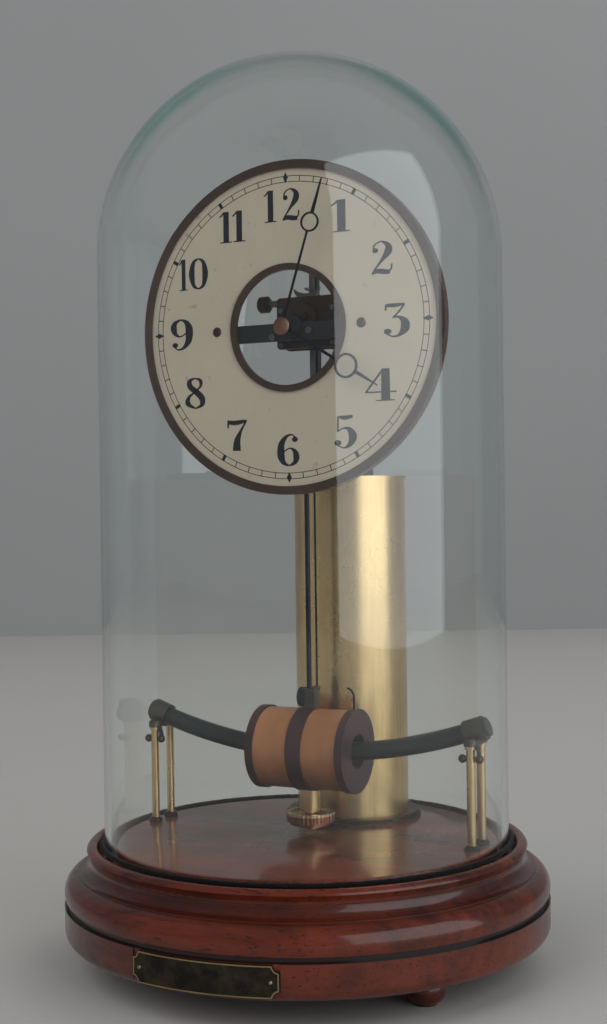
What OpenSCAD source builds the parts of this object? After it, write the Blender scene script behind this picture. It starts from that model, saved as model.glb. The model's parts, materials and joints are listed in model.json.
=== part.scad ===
// Battery clock under a glass dome: a coil swings on a curved bar magnet and drives
// the hands through a ratchet and worm. The origin is on the table at the middle of the
// base, +Z is up and the dial faces -Y.

/* [Base] */
// Width of the base outside the dome
rim_w = 17; // [13:0.5:22]
// Height of the turned base from its underside to the polished deck
base_h = 39.4; // [38.6:0.2:41]
// Height of the bun feet
foot_h = 12.1; // [9:0.1:15]
// Diameter of the bun feet
foot_d = 16.4; // [13:0.2:20]
// Diameter of the circle that the two front feet stand on
foot_circle_d = 160; // [154:1:166]
// Distance of the rear foot behind the middle, clear of the battery cover
rear_foot_y = 87.5; // [87:0.5:88]
// Height of the plain band below the dark line
band_h = 14.6; // [14:0.2:15.4]
// Width of the dark line cut round the base
line_w = 2; // [1:0.1:3]
// Depth of the dark line
line_depth = 1.6; // [0.8:0.1:3]
// Thickness of the round bead beside the dome
bead_d = 5.8; // [5:0.1:6.6]
// Depth of the groove that the dome stands in
groove_depth = 6; // [5:0.2:8]
// Depth of the turned recess in the underside
recess_depth = 13; // [9:0.5:15]
// Diameter of the recess in the underside
recess_d = 130; // [122:1:134]

/* [Nameplate] */
// Width of the plate along the band
plate_w = 61; // [40:1:70]
// Height of the plate
plate_h = 12.4; // [8:0.2:12.6]
// Turn of the plate to the right of the front, in degrees
plate_turn = 3.1; // [0:0.1:6]
// Thickness of the plate
plate_t = 0.9; // [0.6:0.1:1.4]

/* [Dome] */
// Outer diameter of the glass dome
dome_d = 172; // [170:1:174]
// Wall of the glass dome
dome_wall = 2.6; // [2:0.1:3]
// Height of the glass dome from foot to crown
dome_h = 337.4; // [332:0.2:350]

/* [Battery column] */
// Outer diameter of the brass tube
column_d = 50.8; // [49:0.2:52]
// Wall of the brass tube
column_wall = 1.2; // [0.8:0.1:1.6]
// Height of the brass tube above the deck
column_h = 152; // [148:1:156]
// Distance of the column behind the middle of the base
column_y = 49.5; // [49:0.1:50]
// Diameter of the flange round the column's foot
flange_d = 62; // [59:0.5:62]
// Thickness of the flange
flange_t = 2.4; // [1.5:0.1:4]
// Height of the contact stud between the battery and the top of the tube
stud_h = 9.4; // [8:0.2:12]

/* [Pendulum] */
// Distance of the coil's swing plane behind the middle
swing_y = 4.2; // [3.8:0.1:4.6]
// Distance from the suspension point down to the coil's middle
swing_length = 246; // [243:0.5:247]
// Height of the coil's middle above the deck
coil_z = 36.2; // [35.6:0.1:36.8]
// Diameter of the coil's end cheeks
coil_d = 35.8; // [34:0.2:37]
// Length of the coil over its end cheeks
coil_l = 45.4; // [42:0.2:48]
// Bore of the coil
bore_d = 14.8; // [14.4:0.1:16]
// Thickness of an end cheek
cheek_t = 3.4; // [2.5:0.1:4.5]
// Width of the band round the coil's middle
band_w = 7; // [5.5:0.1:9]
// Diameter of the pendulum rod
rod_d = 2.2; // [1.8:0.1:2.8]
// Distance of the suspended strap behind the middle
strap_y = 12; // [11.8:0.1:12.1]

/* [Rating nut] */
// Diameter of the rating nut
nut_d = 21; // [17:0.5:24]
// Height of the rating nut's rim
nut_rim_h = 5.2; // [4:0.2:6]
// Gap under the nut's hub
nut_gap = 2.4; // [1.6:0.1:3]

/* [Magnet] */
// Diameter of the curved bar magnet
magnet_d = 7.9; // [7:0.1:8.2]
// Radius of the magnet's curve
magnet_r = 224.5; // [215:0.5:240]
// Height of the magnet's lowest point above the deck, at its axis
magnet_z = 35.2; // [34.8:0.1:35.6]
// Distance from the middle to each pair of pillars
pillar_x = 74.8; // [73:0.1:75]
// Distance between the two pillars of a pair
pillar_pitch = 13.1; // [12.6:0.1:14]
// Diameter of a pillar
pillar_d = 3.5; // [2.8:0.1:3.6]
// Length of bar that stands past the pillars
magnet_end = 5.4; // [4:0.1:5.6]

/* [Dial] */
// Diameter over the dial's bezel
dial_d = 140.6; // [134:0.2:141]
// Height of the dial's centre above the deck
dial_z = 215.8; // [215:0.2:217]
// Distance of the dial's face in front of the middle
dial_face_y = 12.4; // [12.2:0.1:13.4]
// Thickness of the dial plate
dial_t = 0.9; // [0.7:0.1:1.2]
// Width of the bezel's front lip
bezel_w = 3.6; // [2.6:0.1:5]
// Depth of the bezel hoop
bezel_depth = 4.4; // [3:0.2:9]
// Diameter of the dial's centre hole
hole_d = 48.3; // [46:0.1:50]
// Width of the ring round the centre hole
ring_w = 2.8; // [2:0.1:4]
// Height of the bar behind the dial
crossbar_h = 7.4; // [6.4:0.1:8]
// Distance from the middle to each dial screw
dial_screw_x = 33.8; // [31:0.1:38]

/* [Hands] */
// Length of the minute hand
minute_len = 62.8; // [55:0.2:64]
// Length of the hour hand
hour_len = 49.8; // [42:0.2:52]
// Distance from the centre to the minute hand's ring
minute_ring_at = 44.4; // [36:0.2:46]
// Distance from the centre to the hour hand's ring
hour_ring_at = 33.5; // [28:0.2:36]
// Outer diameter of the minute hand's ring
minute_ring_d = 8.3; // [6:0.1:9]
// Outer diameter of the hour hand's ring
hour_ring_d = 10.4; // [8:0.1:12]
// Thickness of a hand
hand_t = 0.5; // [0.4:0.1:0.7]
// Minute hand's angle past twelve, in degrees
minute_angle = 17.7; // [0:0.1:360]
// Hour hand's angle past twelve, in degrees
hour_angle = 122; // [0:0.1:360]

/* [Movement] */
// Thickness of the movement plates
movement_plate_t = 1.4; // [1:0.1:1.8]
// Teeth of the ratchet wheel
ratchet_teeth = 15; // [12:1:18]
// Radius over the ratchet teeth
ratchet_r = 8.5; // [7.5:0.1:8.6]
// Teeth of the wheel that the worm turns
worm_wheel_teeth = 60; // [40:1:64]
// Tooth module of the worm wheel
worm_module = 0.27; // [0.26:0.005:0.28]
// Leaves of the pinion on the worm wheel's arbor
drive_leaves = 12; // [10:1:12]
// Teeth of the centre wheel
centre_teeth = 48; // [44:1:48]
// Leaves of the cannon pinion
cannon_leaves = 12; // [10:1:12]
// Teeth of the minute wheel
minute_teeth = 36; // [30:1:36]
// Tooth module of the cannon pinion and minute wheel
motion_module = 0.3; // [0.28:0.01:0.31]
// Leaves of the minute wheel's pinion
hour_leaves = 10; // [8:1:10]
// Teeth of the hour wheel
hour_teeth = 40; // [38:1:40]
// Diameter of the setting knob
knob_d = 7.1; // [5:0.1:8]
// Length of the setting knob
knob_l = 4.8; // [3:0.1:6]

/* [Hidden] */
$fn = 64;

// Gap between parts that move past each other, and radial play of a running fit
gap = 0.3;
play = 0.05;

// Base
deck_z = foot_h + base_h;
groove_floor = deck_z - groove_depth;
dome_r = dome_d / 2;
base_r = dome_r + rim_w;
dome_inner_r = dome_r - dome_wall;
deck_r = dome_inner_r - 2.4;
seal_t = 1.7;
seal_proud = 0.6;
groove_r = dome_r + seal_t + 2 * gap + 0.1;
bead_r = bead_d / 2;
bead_x = groove_r + bead_r - 0.4;
bead_z = deck_z - 0.6 - bead_r;
band_top = foot_h + band_h;
bulge_low = band_top + line_w;
bulge_r = 7.6;
bulge_x = base_r - bulge_r;
bulge_z = bulge_low + 3.6;
band_round = 5;
recess_top = foot_h + recess_depth;
screw_r = 1.7;
cover_screw_r = 0.9;
foot_pad_r = 4.6;
cove_x = bulge_x + 1.6;
cove_z = bead_z - bead_r + 0.1;
cove_r = cove_z - bulge_z - bulge_r - 0.3;
deck_round = 1.2;
nameplate_z = band_top - 0.3 - plate_h / 2;
plate_angle = plate_w / base_r * 180 / PI;
plate_start = plate_turn - 90 - plate_angle / 2;
foot_places = concat([for (a = [-30, 210]) foot_circle_d / 2 * [cos(a), sin(a)]], [[0, rear_foot_y]]);
cover_angles = [-90, 30, 150];

// Battery column
column_r = column_d / 2;
tube_r = column_r - column_wall;
column_top = deck_z + column_h;
cap_t = 1.6;
cap_top = column_top + cap_t;
battery_r = tube_r - 1.6;
cover_r = 28.4;
cover_t = 2;
cover_circle_r = 26.3;
stud_r = 2.4;
cover_z = recess_top - cover_t;
leaf_h = 4;
battery_z = recess_top + leaf_h;
battery_h = column_top - stud_h - battery_z;
wire_r = 0.6;
wire_x = 8;
wire_y = column_y - sqrt(pow(battery_r + 0.8, 2) - pow(wire_x, 2));

// Pendulum
coil_mid_z = deck_z + coil_z;
pivot_z = coil_mid_z + swing_length;
coil_r = coil_d / 2;
bore_r = bore_d / 2;
winding_r = coil_r - 1.4;
wrap_r = coil_r - 0.7;
former_wall = 1.2;
strap_w = 2.2;
strap_t = 1.2;
chops_h = 5;
spring_l = 8;
strap_top = pivot_z - spring_l - chops_h;
crosshead_z = cap_top + 3.4;
crosshead_h = 7;
clamp_h = 8.2;
clamp_z = coil_mid_z + coil_r;
clamp_w = 5.2;
clamp_nut_r = 4.2;
clamp_nut_z = clamp_z + clamp_nut_r + 0.1;
lead_r = 0.45;
terminal_z = clamp_z + clamp_h;
sleeve_r = 4.2;
thread_r = 2.3;
nut_hub_h = 1.6;
nut_z = deck_z + nut_gap;
nut_top = nut_z + nut_hub_h + nut_rim_h;
nut_r = nut_d / 2;

// Magnet
magnet_bar_r = magnet_d / 2;
magnet_centre_z = deck_z + magnet_z + magnet_r;
pillar_tilt = asin(pillar_x / magnet_r);
end_tilt = pillar_tilt + asin(magnet_end / magnet_r);
pillar_axis_z = magnet_centre_z - magnet_r * cos(pillar_tilt);
yoke_t = 1.1;
yoke_w = 8;
ear_r = 2.7;
pillar_r = pillar_d / 2;
pillar_top = pillar_axis_z - magnet_bar_r - 1.6;
collar_r = pillar_r + 1.3;
collar_h = 1.6;

// Movement, heights from the dial's centre
centre_z = deck_z + dial_z;
dial_back_y = -dial_face_y + dial_t;
crossbar_t = 2.2;
crossbar_back_y = dial_back_y + crossbar_t;
crossbar_mid = -1.7;
front_plate_y = -4.6;
back_plate_y = 3.9;
front_inside_y = front_plate_y + movement_plate_t;
back_face_y = back_plate_y + movement_plate_t;
plate_left = -8.8;
plate_right = 19.4;
plate_low = -8.3;
plate_high = 13.6;
worm_y = 0.4;
worm_up = 12;
worm_pitch_r = 1.95;
worm_depth = 0.3;
worm_lead = PI * worm_module;
worm_wheel_r = worm_wheel_teeth * worm_module / 2;
worm_wheel_up = worm_up - worm_pitch_r - worm_wheel_r - 0.05;
worm_wheel_x = worm_wheel_r + 1.4;
worm_wheel_t = 1.4;
drive_distance = sqrt(pow(worm_wheel_x, 2) + pow(worm_wheel_up, 2));
drive_module = 2 * drive_distance / (drive_leaves + centre_teeth);
drive_angle = atan2(worm_wheel_up, worm_wheel_x);
arbor_r = 0.75;
pivot_r = 0.6;
cock_t = 1.4;
left_cock_x = plate_left + 0.4;
right_cock_x = worm_wheel_x + worm_wheel_r + worm_module + 0.5;
ratchet_x = right_cock_x + cock_t + 1;
ratchet_t = 1.2;
knob_x = left_cock_x - 6.4 - knob_l;
motion_distance = (cannon_leaves + minute_teeth) * motion_module / 2;
hour_module = 2 * motion_distance / (hour_leaves + hour_teeth);
minute_wheel_angle = 45;
minute_wheel_x = motion_distance * cos(minute_wheel_angle);
minute_wheel_up = motion_distance * sin(minute_wheel_angle);
cannon_r = 1.15;
hour_pipe_r = 1.9;
hour_hand_y = -16.6;
minute_hand_y = hour_hand_y - hand_t - 0.9;
cap_r = 3.7;
fork_pivot_up = 1.5;
fork_y = 6.5;
fork_t = 1.2;
fork_stud_r = 0.9;
horn_up = 19;
horn_half = 6.3;
valley_up = 16.6;
pin_up = 18.4;
pin_r = 0.6;
pawl_gap = 0.25;
pawl_y = worm_y + ratchet_r + pawl_gap;
post_y = 13.6;
post_t = 3.4;
post_w = 3.6;
post_top_w = 2.8;
bend_r = 10;
post_low = cap_top + post_t + bend_r;
post_top = pivot_z + 4.5;
bridge_reach = 11.4;
bridge_w = 2.4;
bridge_low = -5;
bridge_h = 4;
cock_w = 10;

// A cylinder of radius r along Y from y0 to y1, through x and z
module along_y(x, z, y0, y1, r) {
    translate([x, y0, z])
        rotate([-90, 0, 0])
            cylinder(h = y1 - y0, r = r);
}

// A cylinder of radius r along X from x0 to x1, through y and z
module along_x(y, z, x0, x1, r) {
    translate([x0, y, z])
        rotate([0, 90, 0])
            cylinder(h = x1 - x0, r = r);
}

// A flat outline in the dial's plane with its front at y, thickness t, centred on x and up
module facing(x, up, y, t) {
    translate([x, y + t, centre_z + up])
        rotate([90, 0, 0])
            linear_extrude(height = t)
                children();
}

// Outline of a toothed wheel with its first tooth at the given angle
module gear_outline(teeth, tooth_module, angle) {
    pitch_r = teeth * tooth_module / 2;
    step = 360 / teeth;
    tip_r = pitch_r + 0.85 * tooth_module;
    root_r = pitch_r - 1.15 * tooth_module;
    polygon([for (i = [0:teeth - 1]) for (p = [[root_r, -0.29], [tip_r, -0.11], [tip_r, 0.11], [root_r, 0.29]])
        let (a = angle + step * (i + p[1])) p[0] * [cos(a), sin(a)]]);
}

// Half outline of the turned base, from its axis outwards
module base_profile() {
    difference() {
        union() {
            translate([0, foot_h])
                square([base_r - band_round, band_h]);
            translate([0, foot_h + band_round])
                square([base_r, band_h - band_round]);
            translate([base_r - band_round, foot_h + band_round])
                circle(r = band_round);
            translate([0, band_top])
                square([base_r - line_depth, line_w]);
            translate([bulge_x, bulge_z])
                intersection() {
                    circle(r = bulge_r);
                    translate([0, bulge_low - bulge_z])
                        square([bulge_r, 2 * bulge_r]);
                }
            translate([0, bulge_low])
                square([bulge_x, bulge_z + bulge_r - bulge_low]);
            translate([0, bulge_z])
                square([cove_x, cove_z - bulge_z]);
            translate([0, bulge_z])
                square([bead_x, bead_z - bulge_z]);
            translate([bead_x, bead_z])
                circle(r = bead_r);
        }
        translate([deck_r, groove_floor])
            square([groove_r - deck_r, groove_depth + 1]);
        translate([cove_x, cove_z])
            circle(r = cove_r);
    }
    translate([0, groove_floor - 1])
        square([deck_r, groove_depth + 1 - deck_round]);
    translate([0, deck_z - deck_round - 1])
        square([deck_r - deck_round, deck_round + 1]);
    translate([deck_r - deck_round, deck_z - deck_round])
        circle(r = deck_round);
}
// Turned mahogany base with the dome's groove and the holes for the column and feet
module wooden_base() {
    color([0.38, 0.13, 0.07])
        difference() {
            rotate_extrude($fn = 128)
                base_profile();
            translate([0, 0, foot_h - 1])
                cylinder(h = recess_depth + 1, d = recess_d);
            translate([0, column_y, foot_h])
                cylinder(h = base_h + 1, r = tube_r);
            translate([0, column_y, foot_h - 1])
                cylinder(h = recess_depth + 1, r = cover_r + gap);
            for (p = foot_places)
                translate([p[0], p[1], foot_h - 1])
                    cylinder(h = 11.5, r = screw_r + play);
            for (a = cover_angles)
                translate([0, column_y, recess_top - 1])
                    rotate(a)
                        translate([cover_circle_r, 0, 0])
                            cylinder(h = 8, r = cover_screw_r + play);
            translate([0, 0, nameplate_z - plate_h / 2 - gap])
                rotate(plate_start - 0.2)
                    rotate_extrude(angle = plate_angle + 0.4)
                        translate([base_r - 0.5, 0])
                            square([2, plate_h + 2 * gap + 0.6]);
        }
}
// Three bun feet, flat on top and under
module bun_feet() {
    round_r = foot_h / 2;
    color([0.3, 0.09, 0.05])
        for (p = foot_places)
            translate([p[0], p[1], 0])
                difference() {
                    rotate_extrude() {
                        square([foot_pad_r, foot_h]);
                        translate([foot_d / 2 - round_r, round_r])
                            intersection() {
                                circle(r = round_r);
                                translate([0, -round_r])
                                    square([round_r, 2 * round_r]);
                            }
                    }
                    cylinder(h = 3.4, r = 1.7 * screw_r + 0.3);
                    cylinder(h = foot_h + 1, r = screw_r + play);
                }
}

// One slotted wood screw of radius r, head down, from the seat of its head upwards
module wood_screw(r, length) {
    difference() {
        union() {
            cylinder(h = length, r = r, $fn = 32);
            translate([0, 0, -0.7 * r])
                cylinder(h = 0.7 * r, r = 1.7 * r, $fn = 32);
        }
        translate([-4, -0.3, -0.7 * r - 0.6])
            cube([8, 0.6, 1]);
    }
}

// Screws of the feet and of the battery cover
module base_screws() {
    color([0.7, 0.6, 0.4]) {
        for (p = foot_places)
            translate([p[0], p[1], 3.4])
                wood_screw(screw_r, foot_h + 6);
        for (a = cover_angles)
            translate([0, column_y, cover_z])
                rotate(a)
                    translate([cover_circle_r, 0, 0])
                        wood_screw(cover_screw_r, cover_t + 6);
    }
}

// Blank plate bent to the band, with notched ends
module nameplate() {
    notch_r = 2.6;
    color([0.08, 0.07, 0.05])
        difference() {
            translate([0, 0, nameplate_z - plate_h / 2])
                rotate(plate_start)
                    rotate_extrude(angle = plate_angle)
                        translate([base_r - 0.5, 0])
                            square([plate_t, plate_h]);
            for (side = [-1, 1])
                for (end = [-1, 1])
                    rotate(plate_turn + side * plate_angle / 2)
                        along_y(0, nameplate_z + end * plate_h / 2, -base_r - 4, -base_r + 4, notch_r);
        }
}

// Soft cord packed between the dome and the wall of its groove
module dome_seal() {
    color([0.03, 0.03, 0.03])
        rotate_extrude($fn = 96)
            translate([dome_r + gap + 0.1 + seal_t / 2, groove_floor]) {
                translate([-seal_t / 2, 0])
                    square([seal_t, groove_depth + seal_proud - seal_t / 2]);
                translate([0, groove_depth + seal_proud - seal_t / 2])
                    circle(d = seal_t);
            }
}

// Upright wall and round crown of the dome, as a half outline of radius r
module dome_outline(r, low, top) {
    translate([0, low])
        square([r, top - r - low]);
    translate([0, top - r])
        intersection() {
            circle(r = r, $fn = 128);
            square([r, r]);
        }
}

// Glass dome standing in the groove
module glass_dome() {
    foot = groove_floor + gap;
    color([0.8, 0.92, 0.88, 0.3])
        rotate_extrude($fn = 128)
            difference() {
                dome_outline(dome_r, foot, foot + dome_h);
                dome_outline(dome_inner_r, foot - 1, foot + dome_h - dome_wall);
            }
}

// Flange round the column's foot, let over the tube
module column_flange() {
    color([0.25, 0.2, 0.15])
        translate([0, column_y, deck_z])
            difference() {
                union() {
                    cylinder(h = flange_t / 2, d = flange_d);
                    cylinder(h = flange_t, d = flange_d - 2);
                }
                translate([0, 0, -1])
                    cylinder(h = flange_t + 2, r = column_r + play);
            }
}

// Brass tube that houses the battery
module battery_tube() {
    color([0.78, 0.62, 0.3])
        translate([0, column_y, deck_z])
            difference() {
                cylinder(h = column_h, r = column_r);
                translate([0, 0, -1])
                    cylinder(h = column_h + 2, r = tube_r);
            }
}

// Cap that closes the tube, with its spigot and the hole for the wire
module column_cap() {
    color([0.72, 0.56, 0.26])
        difference() {
            translate([0, column_y, column_top]) {
                cylinder(h = cap_t, r = column_r + 0.5);
                translate([0, 0, -3])
                    cylinder(h = 3, r = tube_r - play);
            }
            translate([wire_x, wire_y, column_top - 4])
                cylinder(h = 8, r = wire_r + 0.4);
            translate([0, column_y, column_top - 4])
                cylinder(h = 8, r = stud_r + play);
            for (y = bracket_screw_ys)
                translate([0, y, column_top - 4])
                    cylinder(h = 8, r = 1 + play);
        }
}
bracket_screw_ys = [column_y - 10, column_y + 8];

// Stud that joins the battery's top contact to the bracket
module contact_stud() {
    color([0.8, 0.66, 0.36])
        translate([0, column_y, 0]) {
            translate([0, 0, battery_z + battery_h])
                cylinder(h = cap_top - battery_z - battery_h, r = stud_r);
            translate([0, 0, column_top - 4.2])
                cylinder(h = 1.2, r = stud_r + 2.2);
        }
}

// Round cell in its paper jacket, with a brass contact on top
module battery_cell() {
    color([0.55, 0.2, 0.15])
        translate([0, column_y, battery_z]) {
            cylinder(h = battery_h - 4, r = battery_r);
            cylinder(h = battery_h, r = 5);
        }
}

// Brass disc that closes the battery hole from below
module battery_cover() {
    color([0.7, 0.55, 0.28])
        difference() {
            translate([0, column_y, cover_z])
                cylinder(h = cover_t, r = cover_r);
            for (a = cover_angles)
                translate([0, column_y, cover_z - 1])
                    rotate(a)
                        translate([cover_circle_r, 0, 0])
                            cylinder(h = cover_t + 2, r = cover_screw_r + play);
        }
}

// Bowed contact leaf between the cover and the battery
module battery_leaf() {
    half = 14;
    thick = 0.5;
    bow_r = (half * half + leaf_h * leaf_h) / (2 * leaf_h);
    color([0.85, 0.7, 0.35])
        translate([0, column_y, battery_z - bow_r])
            intersection() {
                difference() {
                    along_y(0, 0, -4, 4, bow_r);
                    along_y(0, 0, -5, 5, bow_r - thick);
                }
                translate([-half, -5, bow_r - leaf_h])
                    cube([2 * half, 10, leaf_h]);
            }
}

// Insulated wire from the battery's cover up the column to the back of the movement
module supply_wire() {
    bend = 5;
    lug_z = centre_z + plate_low + 1.5;
    color([0.12, 0.08, 0.05]) {
        translate([wire_x, wire_y, recess_top])
            cylinder(h = lug_z - bend - recess_top, r = wire_r, $fn = 32);
        translate([wire_x, wire_y - bend, lug_z - bend])
            rotate([90, 0, 90])
                rotate_extrude(angle = 90)
                    translate([bend, 0])
                        circle(r = wire_r, $fn = 32);
        along_y(wire_x, lug_z, back_face_y, wire_y - bend, wire_r);
    }
}

// Upright that carries the movement, bent back on to the column's cap
module movement_bracket() {
    waist = centre_z + plate_high;
    bend_y = post_y + post_t + bend_r;
    color([0.1, 0.09, 0.08])
        difference() {
            union() {
                translate([-post_w / 2, post_y, post_low])
                    cube([post_w, post_t, waist - post_low]);
                translate([-post_top_w / 2, post_y, waist])
                    cube([post_top_w, post_t, post_top - waist]);
                intersection() {
                    difference() {
                        along_x(bend_y, post_low, -post_w / 2, post_w / 2, bend_r + post_t);
                        along_x(bend_y, post_low, -post_w, post_w, bend_r);
                    }
                    translate([-post_w, post_y, cap_top])
                        cube([2 * post_w, bend_r + post_t, bend_r + post_t]);
                }
                translate([-7, bend_y, cap_top])
                    cube([14, column_y + 12 - bend_y, post_t]);
            }
            for (y = bracket_screw_ys)
                translate([0, y, cap_top - 1])
                    cylinder(h = post_t + 2, r = 1 + play);
            along_y(0, centre_z + bridge_low + bridge_h / 2, post_y - 1, post_y + post_t + 1, 0.8 + play);
            along_y(0, pivot_z + 2.4, post_y - 1, post_y + post_t + 1, 0.8 + play);
        }
}

// Cheese-head machine screw of radius r, head on top, from the seat of its head
module machine_screw(r, length) {
    difference() {
        union() {
            translate([0, 0, -length])
                cylinder(h = length, r = r, $fn = 32);
            cylinder(h = r, r = 1.8 * r, $fn = 32);
        }
        translate([-2 * r, -0.15 * r, 0.6 * r])
            cube([4 * r, 0.3 * r, r]);
    }
}

// Screws through the bracket's foot, the bridge and the suspension cock
module bracket_screws() {
    color([0.3, 0.3, 0.32]) {
        for (y = bracket_screw_ys)
            translate([0, y, cap_top + post_t])
                machine_screw(1, post_t + cap_t + 2);
        translate([0, post_y + post_t + bridge_w, centre_z + bridge_low + bridge_h / 2])
            rotate([-90, 0, 0])
                machine_screw(0.8, post_t + bridge_w);
        translate([0, post_y + post_t, pivot_z + 2.4])
            rotate([-90, 0, 0])
                machine_screw(0.8, post_t + 2);
    }
}

// Block that holds the top of the suspension spring
module suspension_cock() {
    color([0.6, 0.47, 0.24])
        difference() {
            translate([-cock_w / 2, strap_y - 2.4, pivot_z + gap])
                cube([cock_w, post_y - strap_y + 2.4, 4.2]);
            translate([-0.45, strap_y - 1.8, pivot_z])
                cube([0.9, 3, 1.4]);
            along_y(0, pivot_z + 2.4, post_y - 2.2, post_y + 1, 0.8 + play);
        }
}

// Yoke behind the post whose arms reach forward past the pendulum to the back plate
module movement_bridge() {
    back_y = post_y + post_t;
    color([0.14, 0.12, 0.1])
        translate([0, 0, centre_z + bridge_low])
            difference() {
                union() {
                    translate([-bridge_reach, back_y, 0])
                        cube([2 * bridge_reach, bridge_w, bridge_h]);
                    for (side = [-1, 1])
                        translate([side * (bridge_reach - bridge_w / 2) - bridge_w / 2, back_face_y, 0])
                            cube([bridge_w, back_y + bridge_w - back_face_y, bridge_h]);
                    for (x = [-bridge_reach, 6])
                        translate([x, back_face_y, 0])
                            cube([bridge_reach - 6, 1, bridge_h]);
                }
                along_y(0, bridge_h / 2, back_y - 1, back_y + bridge_w + 1, 0.8 + play);
            }
}

// Outline that both plates share: a rectangle with rounded corners, in dial heights
module plate_outline() {
    corner = 1.6;
    w = plate_right - plate_left;
    h = plate_high - plate_low;
    translate([plate_left, plate_low]) {
        translate([corner, 0])
            square([w - 2 * corner, h]);
        translate([0, corner])
            square([w, h - 2 * corner]);
        for (x = [corner, w - corner])
            for (y = [corner, h - corner])
                translate([x, y])
                    circle(r = corner, $fn = 32);
    }
}
pillar_places = [for (x = [plate_left + 2, plate_right - 2]) for (up = [plate_low + 1.9, worm_up - 3.8]) [x, up]];
plate_pillar_r = 1.3;

// Rear movement plate with the stud that the fork rocks on
module back_plate() {
    color([0.2, 0.17, 0.13]) {
        difference() {
            facing(0, 0, back_plate_y, movement_plate_t)
                plate_outline();
            along_y(0, centre_z, back_plate_y - 1, back_face_y + 1, pivot_r + play);
            along_y(worm_wheel_x, centre_z + worm_wheel_up, back_plate_y - 1, back_face_y + 1, pivot_r + play);
            for (p = pillar_places)
                along_y(p[0], centre_z + p[1], back_plate_y - 1, back_face_y + 1, 0.6 + play);
        }
        along_y(0, centre_z + fork_pivot_up, back_face_y, fork_y + fork_t + 0.5, fork_stud_r);
    }
}

// Front movement plate with the stud of the minute wheel
module front_plate() {
    color([0.16, 0.14, 0.11]) {
        difference() {
            facing(0, 0, front_plate_y, movement_plate_t)
                plate_outline();
            along_y(0, centre_z, front_plate_y - 1, front_inside_y + 1, arbor_r + play);
            along_y(worm_wheel_x, centre_z + worm_wheel_up, front_plate_y - 1, front_inside_y + 1, pivot_r + play);
            for (p = pillar_places)
                along_y(p[0], centre_z + p[1], front_plate_y - 1, front_inside_y + 1, 0.6 + play);
            for (p = spacer_places)
                along_y(p[0], centre_z + p[1], front_plate_y - 1, front_inside_y + 1, 0.8 + play);
        }
        along_y(minute_wheel_x, centre_z + minute_wheel_up, front_plate_y - 3.4, front_plate_y, 0.6);
    }
}
spacer_places = [[-7.5, -3.6], [9.6, -1.7]];

// Four pillars that hold the plates apart
module plate_pillars() {
    color([0.65, 0.52, 0.28])
        for (p = pillar_places)
            difference() {
                along_y(p[0], centre_z + p[1], front_inside_y, back_plate_y, plate_pillar_r);
                for (y = [front_inside_y - 1, back_plate_y - 2])
                    along_y(p[0], centre_z + p[1], y, y + 3, 0.6 + play);
            }
}

// Screws into both ends of the pillars
module plate_screws() {
    color([0.28, 0.28, 0.32])
        for (p = pillar_places)
            translate([p[0], 0, centre_z + p[1]]) {
                translate([0, front_plate_y, 0])
                    rotate([90, 0, 0])
                        machine_screw(0.6, movement_plate_t + 1.8);
                translate([0, back_face_y, 0])
                    rotate([-90, 0, 0])
                        machine_screw(0.6, movement_plate_t + 1.8);
            }
}

// Two cocks between the plates that the worm's arbor turns in
module arbor_cocks() {
    color([0.5, 0.4, 0.22])
        for (x = [left_cock_x, right_cock_x])
            difference() {
                translate([x, front_inside_y, centre_z + worm_up - 2.4])
                    cube([cock_t, back_plate_y - front_inside_y, 2.8]);
                along_x(worm_y, centre_z + worm_up, x - 1, x + cock_t + 1, arbor_r + play);
            }
}

// Spring click that keeps the ratchet wheel from turning back
module backstop_click() {
    tip_up = worm_up + ratchet_r + pawl_gap;
    color([0.55, 0.57, 0.6])
        translate([ratchet_x, 0, centre_z]) {
            translate([-2.2, back_face_y, plate_high - 4])
                cube([1.9, 0.6, 3]);
            translate([-0.9, back_face_y, plate_high - 4])
                cube([0.6, 0.6, tip_up - plate_high + 4.6]);
            translate([-0.9, worm_y, tip_up])
                cube([0.9 + ratchet_t, back_face_y - worm_y + 0.6, 0.6]);
        }
}

// Bar behind the dial with its boss and the two spacers to the front plate
module dial_crossbar() {
    half = dial_screw_x + 3.4;
    color([0.06, 0.055, 0.05])
        difference() {
            union() {
                translate([-half, dial_back_y, centre_z + crossbar_mid - crossbar_h / 2])
                    cube([2 * half, crossbar_t, crossbar_h]);
                along_y(0, centre_z, dial_back_y - 1.6, crossbar_back_y, 5.4);
                for (p = spacer_places)
                    along_y(p[0], centre_z + p[1], crossbar_back_y - 0.5, front_plate_y, 1.3);
            }
            along_y(0, centre_z, dial_back_y - 3, crossbar_back_y + 1, hour_pipe_r + gap);
            for (p = spacer_places)
                along_y(p[0], centre_z + p[1], dial_back_y - 1, front_plate_y + 1, 0.8 + play);
            for (side = [-1, 1])
                along_y(side * dial_screw_x, centre_z, dial_back_y - 1, crossbar_back_y + 1, 1 + play);
        }
}

// Screws that hold the bar to the front plate
module crossbar_screws() {
    color([0.3, 0.3, 0.33])
        for (p = spacer_places)
            translate([p[0], dial_back_y, centre_z + p[1]])
                rotate([90, 0, 0])
                    machine_screw(0.8, front_inside_y - dial_back_y);
}

// Flat dial, its figures left to the finish
module dial_plate() {
    color([0.86, 0.8, 0.68])
        difference() {
            facing(0, 0, -dial_face_y, dial_t)
                difference() {
                    circle(r = dial_d / 2 - 1.3, $fn = 128);
                    circle(d = hole_d + 1.6, $fn = 96);
                }
            for (side = [-1, 1])
                along_y(side * dial_screw_x, centre_z, -dial_face_y - 1, dial_back_y + 1, 1 + play);
        }
}

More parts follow.
